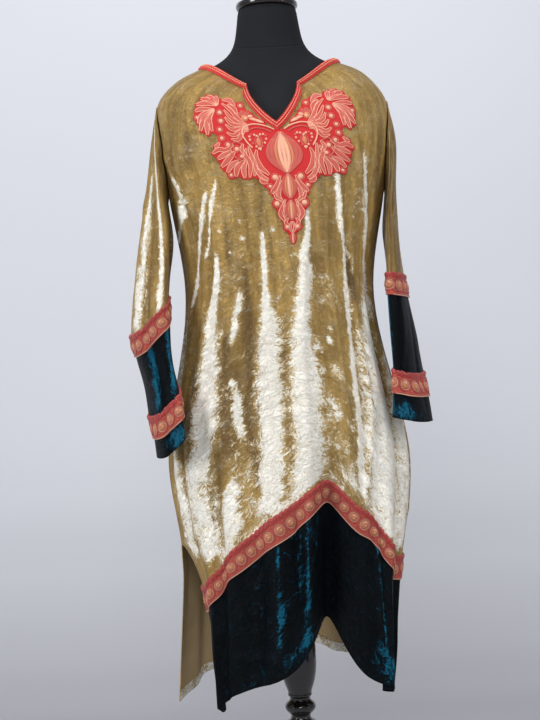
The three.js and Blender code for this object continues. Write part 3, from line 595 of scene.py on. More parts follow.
def crush_group():
    """Crush masks: the painted highlight with ragged edges, its halo and middle, specks, hairlines, height and tone."""
    group = bpy.data.node_groups.new("crush and painted highlight masks", "ShaderNodeTree")
    for way, kind, names in (
        ("INPUT", "Vector", ("Vector",)), ("INPUT", "Float", ("Light", "Ragged")),
        ("OUTPUT", "Float", ("Bright", "Highlight middle", "Grain", "Hairs", "Height", "Cloud", "Highlight halo")),
    ):
        for name in names:
            group.interface.new_socket(name, in_out=way, socket_type="NodeSocket" + kind)
    shades = Shades(group)
    given = shades.add("NodeGroupInput").outputs
    uv, light = given["Vector"], given["Light"]
    bend = shades.take("TexNoise", {"Vector": uv, "Scale": 42.0, "Detail": 3.0}, 1)
    bent = shades.take("VectorMath", {0: bend, 1: (0.5, 0.5, 0.5)}, operation="SUBTRACT")
    bent = shades.take("VectorMath", {0: bent, 3: 0.03}, operation="SCALE")
    place = shades.take("VectorMath", {0: uv, 1: bent}, operation="ADD")

    def strokes(angle, across, along, detail=1.5):
        return shades.noise(shades.stretch(shades.spin(place, angle), across, along, 1), 1.0, detail, 0.6)

    hairs = [strokes(*stroke) for stroke in ((0.5, 260, 50), (-0.7, 240, 54), (1.5, 190, 80))]
    hairs = shades.chain("MAXIMUM", *(shades.step(shades.off(hair, 0.5), 0.026, 0.0) for hair in hairs))
    folds = shades.take("TexVoronoi", {"Vector": place, "Scale": 44.0}, feature="DISTANCE_TO_EDGE")
    pressed = shades.times(shades.step(folds, 0.045, 0.0), shades.step(shades.noise(uv, 70.0), 0.50, 0.60))
    areas = shades.step(shades.noise(uv, 24.0, 3.0, 0.6), 0.51, 0.60)
    tufts = shades.math("MAXIMUM", strokes(0.62, 420, 95, 3.0), strokes(-0.58, 390, 90, 3.0))
    facet = shades.take("TexVoronoi", {"Vector": shades.stretch(place, 1.0, 0.6, 1.0), "Scale": 120.0}, "Color")
    facet = shades.take("SeparateColor", {"Color": facet})
    speck = shades.noise(shades.stretch(place, 1.0, 0.8, 1.0), 360.0, 2.0, 0.7)
    broad = shades.noise(shades.stretch(place, 1.0, 0.5, 1.0), 70.0, 3.0, 0.65)
    swings = (tufts, 0.56, 3.0), (speck, 0.5, 1.5), (facet, 0.5, 0.45), (broad, 0.5, 1.5)
    # the painted light field with ragged crushed edges, from which the painted highlight masks are cut
    highlight_field = shades.plus(*(shades.swing(*swing) for swing in swings))
    highlight_field = shades.plus(light, shades.times(highlight_field, given["Ragged"]))
    relief = (broad, 1.3), (tufts, 0.8), (hairs, 0.25), (speck, 0.3), (pressed, 0.4)
    streaks = shades.noise(shades.stretch(uv, 95, 7, 1), 1.0, 3.0, 0.6)
    cloud = shades.noise(shades.stretch(uv, 1.0, 0.4, 1.0), 14.0, 3.0, 0.6)
    shades.add("NodeGroupOutput", {
        # the first three masks are the painted highlight, its halo and its middle
        "Bright": shades.step(highlight_field, 0.38, 0.74),
        "Highlight halo": shades.step(highlight_field, 0.16, 0.56),
        "Highlight middle": shades.step(shades.plus(light, shades.swing(tufts, 0.56, 1.2)), 0.98, 1.16),
        "Grain": shades.step(shades.plus(speck, shades.swing(broad, 0.5, 0.8)), 0.50, 0.34),
        "Hairs": shades.math("MAXIMUM", shades.times(hairs, areas), pressed),
        "Height": shades.plus(*(shades.times(*part) for part in relief)),
        "Cloud": shades.plus(shades.times(streaks, 0.6), shades.times(cloud, 0.4)),
    })
    return group


CRUSH = crush_group()


def crushed_velvet(name, tones, ragged, hairs, metal, gloss):
    """Crushed velvet. Tones: painted shade deep in the folds, at rest, a second at rest, painted highlight halo,
    highlight, its middle, hairlines.
    """
    shades = new_material(name)
    deep, rest, other, half, bright, core, hairline = tones
    given = {"Vector": shades.uv(), "Light": shades.field("light"), "Ragged": ragged}
    crush = shades.add("Group", given, node_tree=CRUSH).outputs
    tone = shades.mix(shades.step(crush["Cloud"], 0.40, 0.60), other, rest)
    # painted shade: the deep tone along the dark sides of the folds, then the halo of the painted highlights
    tone = shades.mix(shades.math("MULTIPLY", shades.field("trough"), 0.9, clamp=True), tone, deep)
    tone = shades.mix(shades.times(crush["Highlight halo"], 0.72), tone, half)
    # the crease lines of the crushed velvet, painted light as glints, strongest within the painted highlight halo
    lit = shades.times(crush["Hairs"], shades.plus(shades.times(crush["Highlight halo"], 0.7), hairs))
    tone = shades.mix(lit, tone, hairline)
    # the painted highlight: cream, with a darker pinker middle and specks of the halo tone
    shine = shades.mix(shades.times(crush["Highlight middle"], 0.6), bright, core)
    shine = shades.mix(shades.times(crush["Grain"], 0.3), shine, half)
    look = {
        "Base Color": shades.mix(crush["Bright"], tone, shine),
        "Roughness": shades.step(crush["Bright"], 0.0, 1.0, 0.5, 0.36),
        "Metallic": shades.step(crush["Bright"], 0.0, 1.0, metal, 0.0),
        "Specular IOR Level": gloss,
    }
    return shades.dress(look, (0.9, 0.0028, crush["Height"]))


def wrong_side(name, light, dark):
    """The back of velvet: matte woven ground with a fine square weave and soft clouding."""
    shades = new_material(name)
    uv = shades.uv()
    cloud = shades.noise(uv, 22.0, 4.0)
    weave = shades.times(shades.wave(uv, 420.0), shades.wave(uv, 420.0, bands_direction="Y"))
    look = {"Base Color": shades.mix(cloud, dark, light), "Roughness": 0.9, "Specular IOR Level": 0.15}
    return shades.dress(look, (0.35, 0.0008, shades.plus(weave, cloud)))


# Gold tones: painted fold shade, two golds at rest, then the painted highlight halo, the cream highlight, its middle
# and the hairline glints.
GOLD_VELVET = crushed_velvet(
    "gold crushed velvet",
    ((0.13, 0.075, 0.024), (0.45, 0.285, 0.080), (0.28, 0.175, 0.050), (0.64, 0.49, 0.25), (1.0, 0.97, 0.87),
     (0.92, 0.84, 0.75), (0.98, 0.90, 0.68)),
    0.56, 0.20, 0.3, 0.4,
)
GOLD_WRONG_SIDE = wrong_side("gold velvet, wrong side", (0.56, 0.42, 0.23), (0.40, 0.28, 0.145))


def finish_cloth(piece, slot, node, flat, held="draped", area=None, **sheet):
    place_piece(piece, "form", slot, None, node)


PANEL_WALL = 1.8  # mm
YOKE_SHADE = 0.14  # how much weaker the painted highlights are from the shoulders down to the chest


def panel(name, face, rows, columns, right, wrong, slit=False, follow=False):
    across, down = along_panel(rows, columns, slit)
    if follow:
        across, down = follow_seam(across, down)
    light, trough = pile(*PAINTED_LIGHT[face], across, down, SPAN)
    light = light - YOKE_SHADE * (1 - ease(230, 460, down))
    points, flat = body(face, across, down), (across * SPAN, down)
    return cloth(name, points, flat, PANEL_WALL, right, wrong, light=light, trough=trough)


front_rows = np.linspace(0, SEAM_ROW + 29.8, 230)
front = panel("front_of_gold_velvet", "front", front_rows, 160, GOLD_VELVET, GOLD_WRONG_SIDE, slit=True, follow=True)
finish_cloth(front, "gold_velvet", "front_panel", (0.62, 1.02), area=0.52)

# The back is cut in one piece from the neck to the hem, of the same gold velvet, and falls lower than the front.
# It is joined to the front at the shoulders and down the sides as far as the slits.
CREASES["back"] = [
    (0.1, 330, 0.08, 1000, 9, 5), (0.16, 260, 0.14, 900, 8, -5), (0.24, 230, 0.22, 1050, 10, 6),
    (0.29, 300, 0.29, 980, 8, -5), (0.37, 240, 0.4, 1080, 9, 5.5), (0.43, 280, 0.45, 900, 7, -4.5),
    (0.52, 220, 0.49, 1090, 11, 6), (0.57, 300, 0.58, 1000, 8, -5.5), (0.63, 240, 0.61, 1060, 9, 5),
    (0.71, 260, 0.73, 900, 8, -5), (0.77, 230, 0.79, 1070, 10, 5.5), (0.85, 300, 0.86, 980, 8, -4.5),
    (0.91, 330, 0.93, 1030, 9, 5), (0.2, 120, 0.32, 260, 9, 3), (0.8, 120, 0.68, 260, 9, 3),
    (0.34, 560, 0.31, 760, 6, 3), (0.66, 600, 0.7, 800, 6, 3), (0.47, 700, 0.5, 900, 6, 2.5),
]
# Painted light on the back, in the same three tables: highlights, patches of highlight, and shade on the dark sides of
# the folds.
PAINTED_LIGHT["back"] = (
    [
        (0.8, (0.222, 250, 3), (0.228, 360, 6), (0.232, 520, 9), (0.222, 700, 12), (0.226, 900, 16), (0.215, 1100, 20)),
        (1, (0.352, 330, 3), (0.37, 460, 5), (0.392, 600, 8), (0.398, 820, 12), (0.402, 1000, 15), (0.408, 1130, 18)),
        (0.9, (0.54, 190, 3), (0.522, 420, 6), (0.505, 640, 10), (0.498, 860, 14), (0.492, 1120, 20)),
        (0.7, (0.61, 430, 3), (0.622, 540, 5), (0.62, 700, 9), (0.612, 940, 13), (0.61, 1120, 16)),
        (1, (0.786, 300, 3), (0.778, 460, 6), (0.782, 640, 10), (0.788, 880, 15), (0.792, 1110, 22)),
        (0.8, (0.105, 420, 4), (0.098, 640, 8), (0.09, 860, 12), (0.085, 1090, 14)),
        (0.8, (0.905, 420, 4), (0.915, 640, 8), (0.922, 860, 12), (0.93, 1090, 14)),
        (0.7, (0.455, 480, 3), (0.462, 620, 5), (0.47, 760, 4)), (0.7, (0.3, 620, 3), (0.296, 760, 6), (0.3, 900, 4)),
        (0.7, (0.69, 560, 3), (0.7, 700, 5), (0.712, 820, 4)),
    ],
    [
        (0.33, 480, 34, 80, 0.38), (0.45, 900, 40, 90, 0.46), (0.66, 780, 36, 90, 0.46), (0.15, 760, 28, 120, 0.44),
        (0.86, 720, 28, 120, 0.44), (0.3, 1040, 40, 60, 0.46), (0.56, 1040, 44, 60, 0.48), (0.72, 1060, 40, 50, 0.46),
        (0.56, 520, 30, 80, 0.34), (0.2, 420, 24, 80, 0.34), (0.82, 430, 24, 80, 0.34), (0.5, 1128, 240, 14, 0.45),
    ],
    [
        (0.9, (0.275, 300, 4), (0.27, 520, 8), (0.268, 800, 9), (0.262, 1000, 7)),
        (0.9, (0.44, 300, 4), (0.432, 520, 7), (0.44, 760, 8), (0.446, 1000, 7)),
        (0.9, (0.57, 300, 4), (0.56, 560, 8), (0.56, 800, 8), (0.556, 1040, 7)),
        (0.9, (0.715, 300, 4), (0.722, 540, 8), (0.73, 800, 8), (0.738, 1020, 7)),
        (0.7, (0.165, 300, 5), (0.16, 560, 8), (0.15, 820, 8)), (0.7, (0.845, 300, 5), (0.85, 560, 8), (0.858, 820, 8)),
    ],
)
back = panel("back_of_gold_velvet", "back", np.linspace(0, HEM, 250), 130, GOLD_VELVET, GOLD_WRONG_SIDE)
# The turned in strip of the back hem, 17 mm deep, lies just inside the wall.
across, down = along_panel(np.linspace(HEM - 17, HEM - 0.4, 9), 130)
strip, flat = body("back", across, down), (across * SPAN, down + 300)
# Its whole face carries an even painted highlight, and no painted fold shade.
painted_shine = {"light": 0.62 + 0 * down, "trough": 0 * down}
turning = cloth("back_hem_turned_in", strip, flat, 1.0, GOLD_VELVET, GOLD_VELVET, lift=-2.2, **painted_shine)
place_piece(turning, "form", "gold_velvet", None)
finish_cloth(back, "gold_velvet", "back_panel", (0.60, 1.16), area=0.62, with_pieces=[turning])

# The hem panel is cut from dark teal crushed velvet and sewn under the front at the band. One deep pleat falls
# in its middle, and its sides are free at the slits.
FRONT_CREASES += [
    (0.29, 960, 0.27, 1141, 7, 5), (0.4, 955, 0.4, 1141, 6, 5.5), (0.36, 960, 0.35, 1130, 7, -4),
    (0.468, 945, 0.462, 1141, 8, 8), (0.44, 950, 0.43, 1100, 6, -5), (0.69, 930, 0.722, 1141, 5, 6),
    (0.8, 950, 0.79, 1141, 7, 5), (0.76, 950, 0.76, 1141, 6, -5), (0.16, 980, 0.15, 1141, 7, 4),
    (0.9, 950, 0.91, 1141, 7, 4), (0.3, 1090, 0.42, 1125, 6, 3), (0.7, 1100, 0.8, 1120, 7, 3),
]
# Painted light on the teal hem: thin highlights down the fold edges, then patches of painted highlight.
TEAL_HIGHLIGHTS = [
    (0.7, (0.402, 962, 1.5), (0.398, 1027, 1.5), (0.403, 1060, 3), (0.397, 1105, 3)),
    (0.66, (0.473, 948, 1.5), (0.47, 1008, 2), (0.467, 1059, 3), (0.463, 1100, 5), (0.46, 1141, 7)),
    (0.55, (0.449, 965, 1.5), (0.445, 1063, 2)),
    (0.75, (0.688, 935, 1), (0.703, 1002, 1.5), (0.719, 1065, 2), (0.722, 1130, 3)),
    (0.55, (0.86, 950, 2), (0.85, 1010, 3), (0.845, 1060, 2)),
    (0.52, (0.7, 1085, 4), (0.735, 1110, 12), (0.78, 1141, 16)), (0.4, (0.12, 1060, 2), (0.118, 1120, 3)),
]
TEAL_HIGHLIGHT_PATCHES = [
    (0.74, 1118, 34, 22, 0.34), (0.44, 1125, 22, 14, 0.36), (0.41, 1050, 10, 22, 0.3), (0.43, 968, 14, 8, 0.34),
    (0.34, 1132, 40, 6, 0.26), (0.85, 1100, 16, 36, 0.26), (0.44, 1030, 24, 60, 0.16), (0.2, 1120, 30, 20, 0.1),
]
# Teal tones: near black at rest, painted fold shade, and painted highlights in teal blue along the fold edges.
TEAL_VELVET = crushed_velvet(
    "teal crushed velvet",
    ((0.0006, 0.0012, 0.002), (0.0012, 0.003, 0.005), (0.0008, 0.002, 0.003), (0.001, 0.030, 0.054),
     (0.004, 0.110, 0.190), (0.002, 0.05, 0.10), (0.002, 0.045, 0.08)),
    0.66, 0.06, 0.1, 0.1,
)
TEAL_WRONG_SIDE = wrong_side("teal velvet, wrong side", (0.003, 0.008, 0.012), (0.002, 0.005, 0.008))
hem_rows = np.linspace(SEAM_ROW + 30.2, HEM, 74)
PAINTED_LIGHT["front"] = (TEAL_HIGHLIGHTS, TEAL_HIGHLIGHT_PATCHES, [])
hem_panel = panel("front_hem_of_teal_velvet", "front", hem_rows, 160, TEAL_VELVET, TEAL_WRONG_SIDE, follow=True)
finish_cloth(hem_panel, "teal_velvet", "front_hem_panel", (0.66, 0.27), area=0.15)

# The sleeves are long and loose, of gold velvet above and teal below. Each is set into its armhole and closed by
# one seam under the arm, and hangs in front of the side of the body.
SLEEVE_ROWS = {  # at, crown x and z, under x and z, middle y, depth, turn in degrees
    "left": (
        (78, -214, 1278, -187, 1176, -10, 55, 3), (174, -228, 1184, -182, 1130, -20, 62, 6),
        (276, -246, 1082, -184, 1080, -34, 68, 10), (405, -262, 954, -190, 1020, -52, 72, 14),
        (443, -256, 918, -189, 984, -58, 71, 16), (500, -245, 862, -187, 922, -72, 66, 20),
        (548, -237, 816, -178, 868, -90, 60, 21), (586, -229, 779, -173, 828, -104, 56, 22),
        (618, -225, 748, -170, 796, -116, 53, 23),
    ),
    "right": (
        (78, 212, 1272, 189, 1172, -8, 54, -2), (174, 208, 1184, 184, 1128, -18, 60, -4),
        (276, 211, 1092, 182, 1080, -30, 64, -7), (340, 217, 1036, 181, 1040, -40, 66, -10),
        (378, 222, 998, 180, 1004, -47, 66, -12), (450, 234, 926, 181, 934, -68, 64, -18),
        (512, 240, 866, 182, 880, -88, 60, -24), (550, 245, 828, 180, 842, -101, 57, -26),
        (590, 247, 788, 176, 802, -112, 54, -27),
    ),
}
SLEEVE_CUTS = {  # where the pieces of a sleeve end: upper band, its seam and foot, lower band and its foot, cuff
    "left": (405, 430, 443, 548, 586, 618),
    "right": (340, 365, 378, 512, 550, 590),
}
SLEEVE_FOLDS = {  # at, width, depth, from, full
    "left": ((0.16, 0.05, -13, 60, 300), (0.3, 0.05, 7, 60, 260), (0.62, 0.06, -7, 90, 300), (0.85, 0.06, -9, 90, 320)),
    "right": (
        (0.2, 0.05, -8, 120, 420), (0.34, 0.05, 6, 90, 380), (0.66, 0.06, -7, 120, 420), (0.86, 0.06, -7, 120, 420),
    ),
}
SLEEVE_CREASES = {
    "left": [
        (0.07, 20, 0.05, 400, 9, 4), (0.2, 60, 0.25, 330, 8, -4.5), (0.13, 120, 0.1, 400, 7, 3.5),
        (0.33, 90, 0.3, 380, 7, 3.5), (0.28, 180, 0.18, 300, 6, -3), (0.02, 150, 0.14, 280, 6, 3),
        (0.4, 120, 0.42, 360, 8, -3.5), (0.55, 60, 0.52, 380, 8, 3.5), (0.7, 60, 0.74, 400, 8, 3.5),
        (0.8, 120, 0.8, 380, 8, -4), (0.92, 40, 0.94, 400, 8, 3.5), (0.1, 450, 0.16, 610, 6, 3),
        (0.28, 450, 0.24, 600, 6, -3), (0.6, 450, 0.62, 600, 6, 3), (0.85, 450, 0.85, 600, 6, 3),
    ],
    "right": [
        (0.05, 20, 0.06, 330, 8, 3.5), (0.16, 40, 0.2, 330, 7, -3.5), (0.26, 60, 0.24, 330, 7, 3.5),
        (0.36, 60, 0.38, 330, 8, -3.5), (0.12, 150, 0.22, 260, 6, 3), (0.55, 60, 0.52, 330, 8, 3.5),
        (0.7, 60, 0.74, 330, 8, 3.5), (0.8, 100, 0.8, 330, 8, -4), (0.92, 40, 0.94, 330, 8, 3.5),
        (0.14, 380, 0.2, 580, 7, 4), (0.28, 380, 0.3, 580, 6, 3.5), (0.6, 380, 0.62, 580, 6, 3),
        (0.85, 380, 0.85, 580, 6, 3), (0.04, 380, 0.02, 580, 6, -3),
    ],
}
# Painted light on the sleeves and their teal ends, as on the front: highlights, patches of highlight, and shade on the
# dark sides of the folds.
SLEEVE_HIGHLIGHTS = {
    "left": [
        (1, (0.08, 14, 2), (0.14, 48, 3), (0.2, 90, 4), (0.23, 146, 4), (0.26, 200, 5), (0.28, 300, 5), (0.27, 400, 8)),
        (0.8, (0.14, 110, 4), (0.12, 194, 8), (0.11, 239, 10), (0.1, 294, 12), (0.09, 347, 14), (0.07, 400, 12)),
        (0.8, (0.56, 80, 4), (0.55, 240, 9), (0.53, 400, 10)), (0.9, (0.7, 60, 4), (0.73, 240, 9), (0.75, 420, 12)),
        (0.8, (0.93, 60, 4), (0.94, 240, 8), (0.93, 420, 10)),
    ],
    "right": [
        (1, (0.18, 15, 2), (0.28, 53, 3), (0.34, 89, 5), (0.37, 150, 5), (0.37, 219, 5), (0.42, 305, 5),
         (0.43, 345, 4)),
        (0.8, (0.56, 80, 4), (0.55, 200, 9), (0.53, 330, 10)), (0.9, (0.7, 60, 4), (0.73, 200, 9), (0.75, 350, 12)),
        (0.8, (0.9, 60, 4), (0.92, 200, 8), (0.93, 350, 9)),
    ],
}
SLEEVE_HIGHLIGHT_PATCHES = {
    "left": [
        (0.11, 280, 18, 90, 0.5), (0.06, 360, 16, 60, 0.5), (0.26, 410, 14, 30, 0.45), (0.65, 240, 30, 120, 0.45),
        (0.85, 240, 24, 120, 0.42), (0.45, 200, 20, 100, 0.36),
    ],
    "right": [
        (0.3, 120, 10, 60, 0.35), (0.62, 180, 30, 110, 0.45), (0.83, 180, 24, 110, 0.42), (0.46, 160, 14, 80, 0.36),
    ],
}
SLEEVE_FOLD_SHADE = {
    "left": [(0.7, (0.19, 120, 3), (0.19, 300, 5), (0.18, 400, 5)), (0.9, (0.42, 120, 6), (0.43, 400, 10))],
    "right": [(0.8, (0.12, 40, 12), (0.11, 180, 16), (0.1, 350, 18)), (0.6, (0.24, 90, 4), (0.26, 340, 5))],
}
CUFF_HIGHLIGHTS = {
    "left": [
        (0.8, (0.15, 440, 7), (0.13, 480, 9), (0.1, 540, 8)), (0.75, (0.3, 440, 7), (0.29, 540, 9)),
        (0.9, (0.22, 586, 10), (0.24, 600, 18), (0.24, 618, 20)), (0.6, (0.72, 440, 4), (0.74, 610, 8)),
    ],
    "right": [
        (0.9, (0.36, 372, 9), (0.35, 439, 8), (0.35, 500, 7), (0.35, 590, 7)), (0.6, (0.72, 380, 4), (0.74, 580, 8)),
        (0.8, (0.22, 560, 12), (0.24, 590, 24)),
    ],
}
CUFF_HIGHLIGHT_PATCHES = {
    "left": [(0.1, 500, 12, 30, 0.36), (0.22, 600, 40, 16, 0.55), (0.65, 520, 30, 60, 0.4)],
    "right": [(0.36, 440, 8, 60, 0.5), (0.24, 580, 50, 14, 0.5), (0.65, 480, 30, 60, 0.4)],
}
SLEEVE_ROUND = 300  # mm round a sleeve, for its creases and its painted light


def sleeve(side, around, at):
    """Points of a sleeve in mm on a grid: around is 0 at the crown and 0.25 in front, at is mm down the crown."""
    angle = 2 * np.pi * around
    opened = ARMHOLE * np.abs(np.sin(angle)) * 0.97
    down = TIP + (ARMPIT - TIP) * (1 - np.cos(angle)) / 2
    across = opened if side == "left" else 1 - opened
    hole = np.where(np.sin(angle)[:, None] >= 0, body("front", across, down), body("back", across, down))
    hole[:, 0] += -1.9 if side == "left" else 1.9
    rings, middles = [hole], [hole.mean(0)]
    for _, crown_x, crown_z, under_x, under_z, middle_y, deep, turn in SLEEVE_ROWS[side]:
        turn, half = math.radians(turn), (crown_x - under_x) / 2
        reach = math.copysign(math.sqrt(half**2 - (deep * math.sin(turn)) ** 2), half) / math.cos(turn)
        px, py = reach * np.cos(angle), -deep * np.sin(angle)
        middle = np.array(((crown_x + under_x) / 2, middle_y, (crown_z + under_z) / 2))
        turned_x = px * math.cos(turn) - py * math.sin(turn)
        turned_y = px * math.sin(turn) + py * math.cos(turn)
        rings.append(middle + np.stack([turned_x, turned_y, (crown_z - under_z) / 2 * np.cos(angle)], -1))
        middles.append(middle)
    keys = [0] + [row[0] for row in SLEEVE_ROWS[side]]
    points = glide(keys, np.array(rings), at)
    out = (points - glide(keys, np.array(middles), at)[:, None]) * (1, 1, 0)
    out /= np.linalg.norm(out, axis=-1, keepdims=True)
    grid_at, grid_around = np.meshgrid(at, around, indexing="ij")
    deep = creased(SLEEVE_CREASES[side], grid_around, grid_at, SLEEVE_ROUND, wrap=True) * ease(0, 50, grid_at)
    for middle, width, depth, start, full in SLEEVE_FOLDS[side]:
        away = (grid_around - middle + 0.5) % 1 - 0.5
        deep += depth * ease(start, full, grid_at) * np.exp(-((away / width) ** 2))
    return points + out * deep[..., None]


AROUND = np.arange(110) / 110


def tube(name, side, start, end, rows, right, wrong, bright, mixed, dark):
    at = np.linspace(start, end, rows)
    grid_at, grid_around = np.meshgrid(at, AROUND, indexing="ij")
    light, trough = pile(bright, mixed, dark, grid_around, grid_at, SLEEVE_ROUND, wrap=True)
    points, flat = sleeve(side, AROUND, at), (grid_around * SLEEVE_ROUND, grid_at)
    return cloth(name, points, flat, PANEL_WALL, right, wrong, wrap=True, light=light, trough=trough)


SLEEVE_CLOTH = {  # flat width and area in square metres of the sleeve, then of its end
    "left": (0.37, 0.092, 0.36, 0.056),
    "right": (0.32, 0.064, 0.28, 0.058),
}
for side in ("left", "right"):
    _, seam, _, _, _, cuff = SLEEVE_CUTS[side]
    wide, area, end_wide, end_area = SLEEVE_CLOTH[side]
    kinds = SLEEVE_HIGHLIGHTS[side], SLEEVE_HIGHLIGHT_PATCHES[side], SLEEVE_FOLD_SHADE[side]
    piece = tube(f"sleeve_{side}_of_gold_velvet", side, 0, seam, 120, GOLD_VELVET, GOLD_WRONG_SIDE, *kinds)
    finish_cloth(piece, "gold_velvet", f"sleeve_{side}", (wide, seam / 1000 + 0.02), "hung", area=area)
    kinds = CUFF_HIGHLIGHTS[side], CUFF_HIGHLIGHT_PATCHES[side], []
    name, flat = f"sleeve_end_{side}", (end_wide, (cuff - seam) / 1000 + 0.01)
    piece = tube(name + "_of_teal_velvet", side, seam + 0.4, cuff, 60, TEAL_VELVET, TEAL_WRONG_SIDE, *kinds)
    finish_cloth(piece, "teal_velvet", name, flat, "hung", area=end_area)

# Five bands of coral ribbon cover the seams: one above the front hem and two round each sleeve. Each is embroidered
# with peach gold rounds between leaves, edged with red scallops above and a thin gold cord below.


def run_of(path):
    """How far each point of a path lies along it."""
    return np.concatenate([[0], np.cumsum(np.linalg.norm(np.diff(path, axis=0), axis=1))])


def heading(path):
    along = np.gradient(path, axis=0)
    return along / np.maximum(np.linalg.norm(along, axis=1, keepdims=True), 1e-6)


def round_at(a, b, radius, angle, squash=1.0):
    return np.stack([a + radius * np.cos(angle), b + radius * squash * np.sin(angle)], -1)


def swell(share, trim, widest, power):
    """How wide a leaf is along its length, from 0 to 1, with its ends trimmed off."""
    return np.sin(np.pi * (trim + (1 - 2 * trim) * share) ** (math.log(0.5) / math.log(widest))) ** power


class Stitchery:
    """Collects raised shapes, drawn flat in mm as (a, b, height), and lays them on a surface as one mesh."""

    def __init__(self):
        self.points, self.faces, self.threads, self.covered = [], [], [], []

    def loft(self, rings, thread):
        """A closed shape through rings of points. Thread: 0 red, 1 coral, 2 peach, 3 gold, 4 pink."""
        count, sides = rings.shape[:2]
        number = len(self.points) + np.arange(count * sides).reshape(count, sides)
        onward = np.roll(number, -1, 1)
        quads = np.stack([number[:-1], onward[:-1], onward[1:], number[1:]], -1)
        self.points += rings.reshape(-1, 3).tolist()
        self.faces += quads.reshape(-1, 4).tolist() + [number[0, ::-1].tolist(), number[-1].tolist()]
        self.threads += [thread] * (count * sides)

    def disc(self, a, b, radius, height, thread, base=0.1, sides=12, squash=1.0):
        angle = math.tau * np.arange(sides) / sides
        rings = [
            np.column_stack([round_at(a, b, radius * share, angle, squash), np.full(sides, base + height * rise)])
            for share, rise in ((1, 0), (1, 0.35), (0.82, 0.75), (0.5, 0.97), (0.12, 1.0))
        ]
        self.loft(np.array(rings), thread)

    def ridge(self, middle, side, half, rise, base, thread, edge):
        """A shape along a middle line, half as wide on each side of it, with an edge as steep as edge says."""
        rings = [
            np.column_stack([middle + side * (half * c)[:, None], base + rise * h])
            for c, h in ((-1, 0), (-1, edge), (-0.6, edge + 0.45), (0, 1), (0.6, edge + 0.45), (1, edge), (1, 0))
        ]
        self.loft(np.stack(rings, 1), thread)

    def leaf(self, a0, b0, a1, b1, width, height, thread, bend=0.0, base=0.1, steps=9):
        """A small leaf from its foot to its tip, bent to one side."""
        share, run = np.linspace(0, 1, steps), np.array((a1 - a0, b1 - b0), float)
        arch, side = np.sin(np.pi * share), np.array((-run[1], run[0])) / np.hypot(*run)
        middle = (a0, b0) + run * share[:, None] + side * bend * arch[:, None]
        half = width / 2 * swell(share, 0.03, 0.55, 0.85) + 0.1
        self.ridge(middle, side, half, height * (0.45 + 0.55 * arch), base, thread, 0.35)

    def cord(self, path, radius, thread, height=0.1, sides=6, pitch=0.0):
        """A round cord along a path, twisted where it has a pitch."""
        along, run = heading(path), run_of(path)[:, None]
        angle = math.tau * np.arange(sides) / sides
        bulge = radius * (1 + (0.2 * np.cos(2 * angle - math.tau * run / pitch) if pitch else 0 * (run + angle)))
        over, up = bulge * np.cos(angle), height + radius * 0.7 + bulge * np.sin(angle)
        self.loft(np.stack([path[:, :1] - along[:, 1:] * over, path[:, 1:] + along[:, :1] * over, up], -1), thread)

    def plume(self, path, width, height, thread, outline=None, base=0.6, steps=14, tip=0.55):
        """A curved leaf along a path of a few points, widest where tip says, with a thin cord along both edges."""
        share = np.linspace(0, 1, steps)
        middle = glide(np.arange(len(path)), path, share * (len(path) - 1))
        side = heading(middle)[:, ::-1] * (-1, 1)
        half = width / 2 * swell(share, 0.04, tip, 0.7) + 0.15
        self.ridge(middle, side, half, height * (0.4 + 0.6 * np.sin(np.pi * share)), base, thread, 0.4)
        self.covered.append((middle, half))
        if outline is not None:
            for sign in (-1, 1):
                self.cord(middle + side * (sign * (half + 0.2))[:, None], 0.62, outline, height=base + 0.7, sides=5)

    def lay(self, name, place):
        """Makes the mesh: place turns (a, b, height) into points in mm."""
        drawn = np.array(self.points)
        flat = drawn[[corner for face in self.faces for corner in face], :2]
        piece = new_piece(name, place(*drawn.T), self.faces, flat, {"thread": self.threads})
        bpy.ops.object.mode_set(mode="EDIT")
        bpy.ops.mesh.select_all(action="SELECT")
        bpy.ops.mesh.normals_make_consistent(inside=False)
        bpy.ops.object.mode_set(mode="OBJECT")
        bpy.ops.object.shade_smooth_by_angle(angle=math.radians(55))
        return piece


def embroidery(name, depth):
    """Satin stitch and cord in red, coral, peach, gold and pink: fine slanting threads with a soft gloss and painted
    sheen.
    """
    shades = new_material(name)
    uv = shades.uv()
    ramp = shades.add("ValToRGB", {"Fac": shades.math("DIVIDE", shades.field("thread"), 5.0)})
    elements = ramp.color_ramp.elements
    ramp.color_ramp.interpolation = "CONSTANT"
    threads = ((0.0, (0.56, 0.012, 0.014)), (0.15, (0.56, 0.062, 0.042)), (0.35, (0.86, 0.42, 0.27)),
               (0.55, (0.62, 0.19, 0.065)), (0.75, (0.58, 0.095, 0.07)))
    while len(elements) < len(threads):
        elements.new(0.5)
    for element, (position, colour) in zip(elements, threads):
        element.position, element.color = position, (*(min(1.0, part * depth) for part in colour), 1)
    wave = shades.wave(shades.spin(uv, 0.7), 260.0, 1.5, 1.0)
    # painted sheen: paler flecks on the crests of the slanting threads
    sheen_fleck = shades.step(shades.noise(uv, 900.0), 0.35, 0.7)
    pale = shades.mix(0.55, ramp.outputs[0], (0.95, 0.72, 0.60))
    base = shades.mix(shades.times(shades.step(wave, 0.55, 0.95), sheen_fleck, 0.42), ramp.outputs[0], pale)
    look = {"Base Color": base, "Roughness": shades.step(wave, 0.0, 1.0, 0.62, 0.4), "Sheen Weight": 0.15}
    return shades.dress(look, (0.7, 0.0005, wave))


EMBROIDERY = embroidery("embroidery", 1.0)
BAND_THREAD = embroidery("band embroidery", 0.7)
# the same threads painted 1.5 times as bright: painted light, to lift the binding where it renders dim
NECK_THREAD_PAINTED_LIGHTER = embroidery("neck embroidery, painted lighter", 1.5)


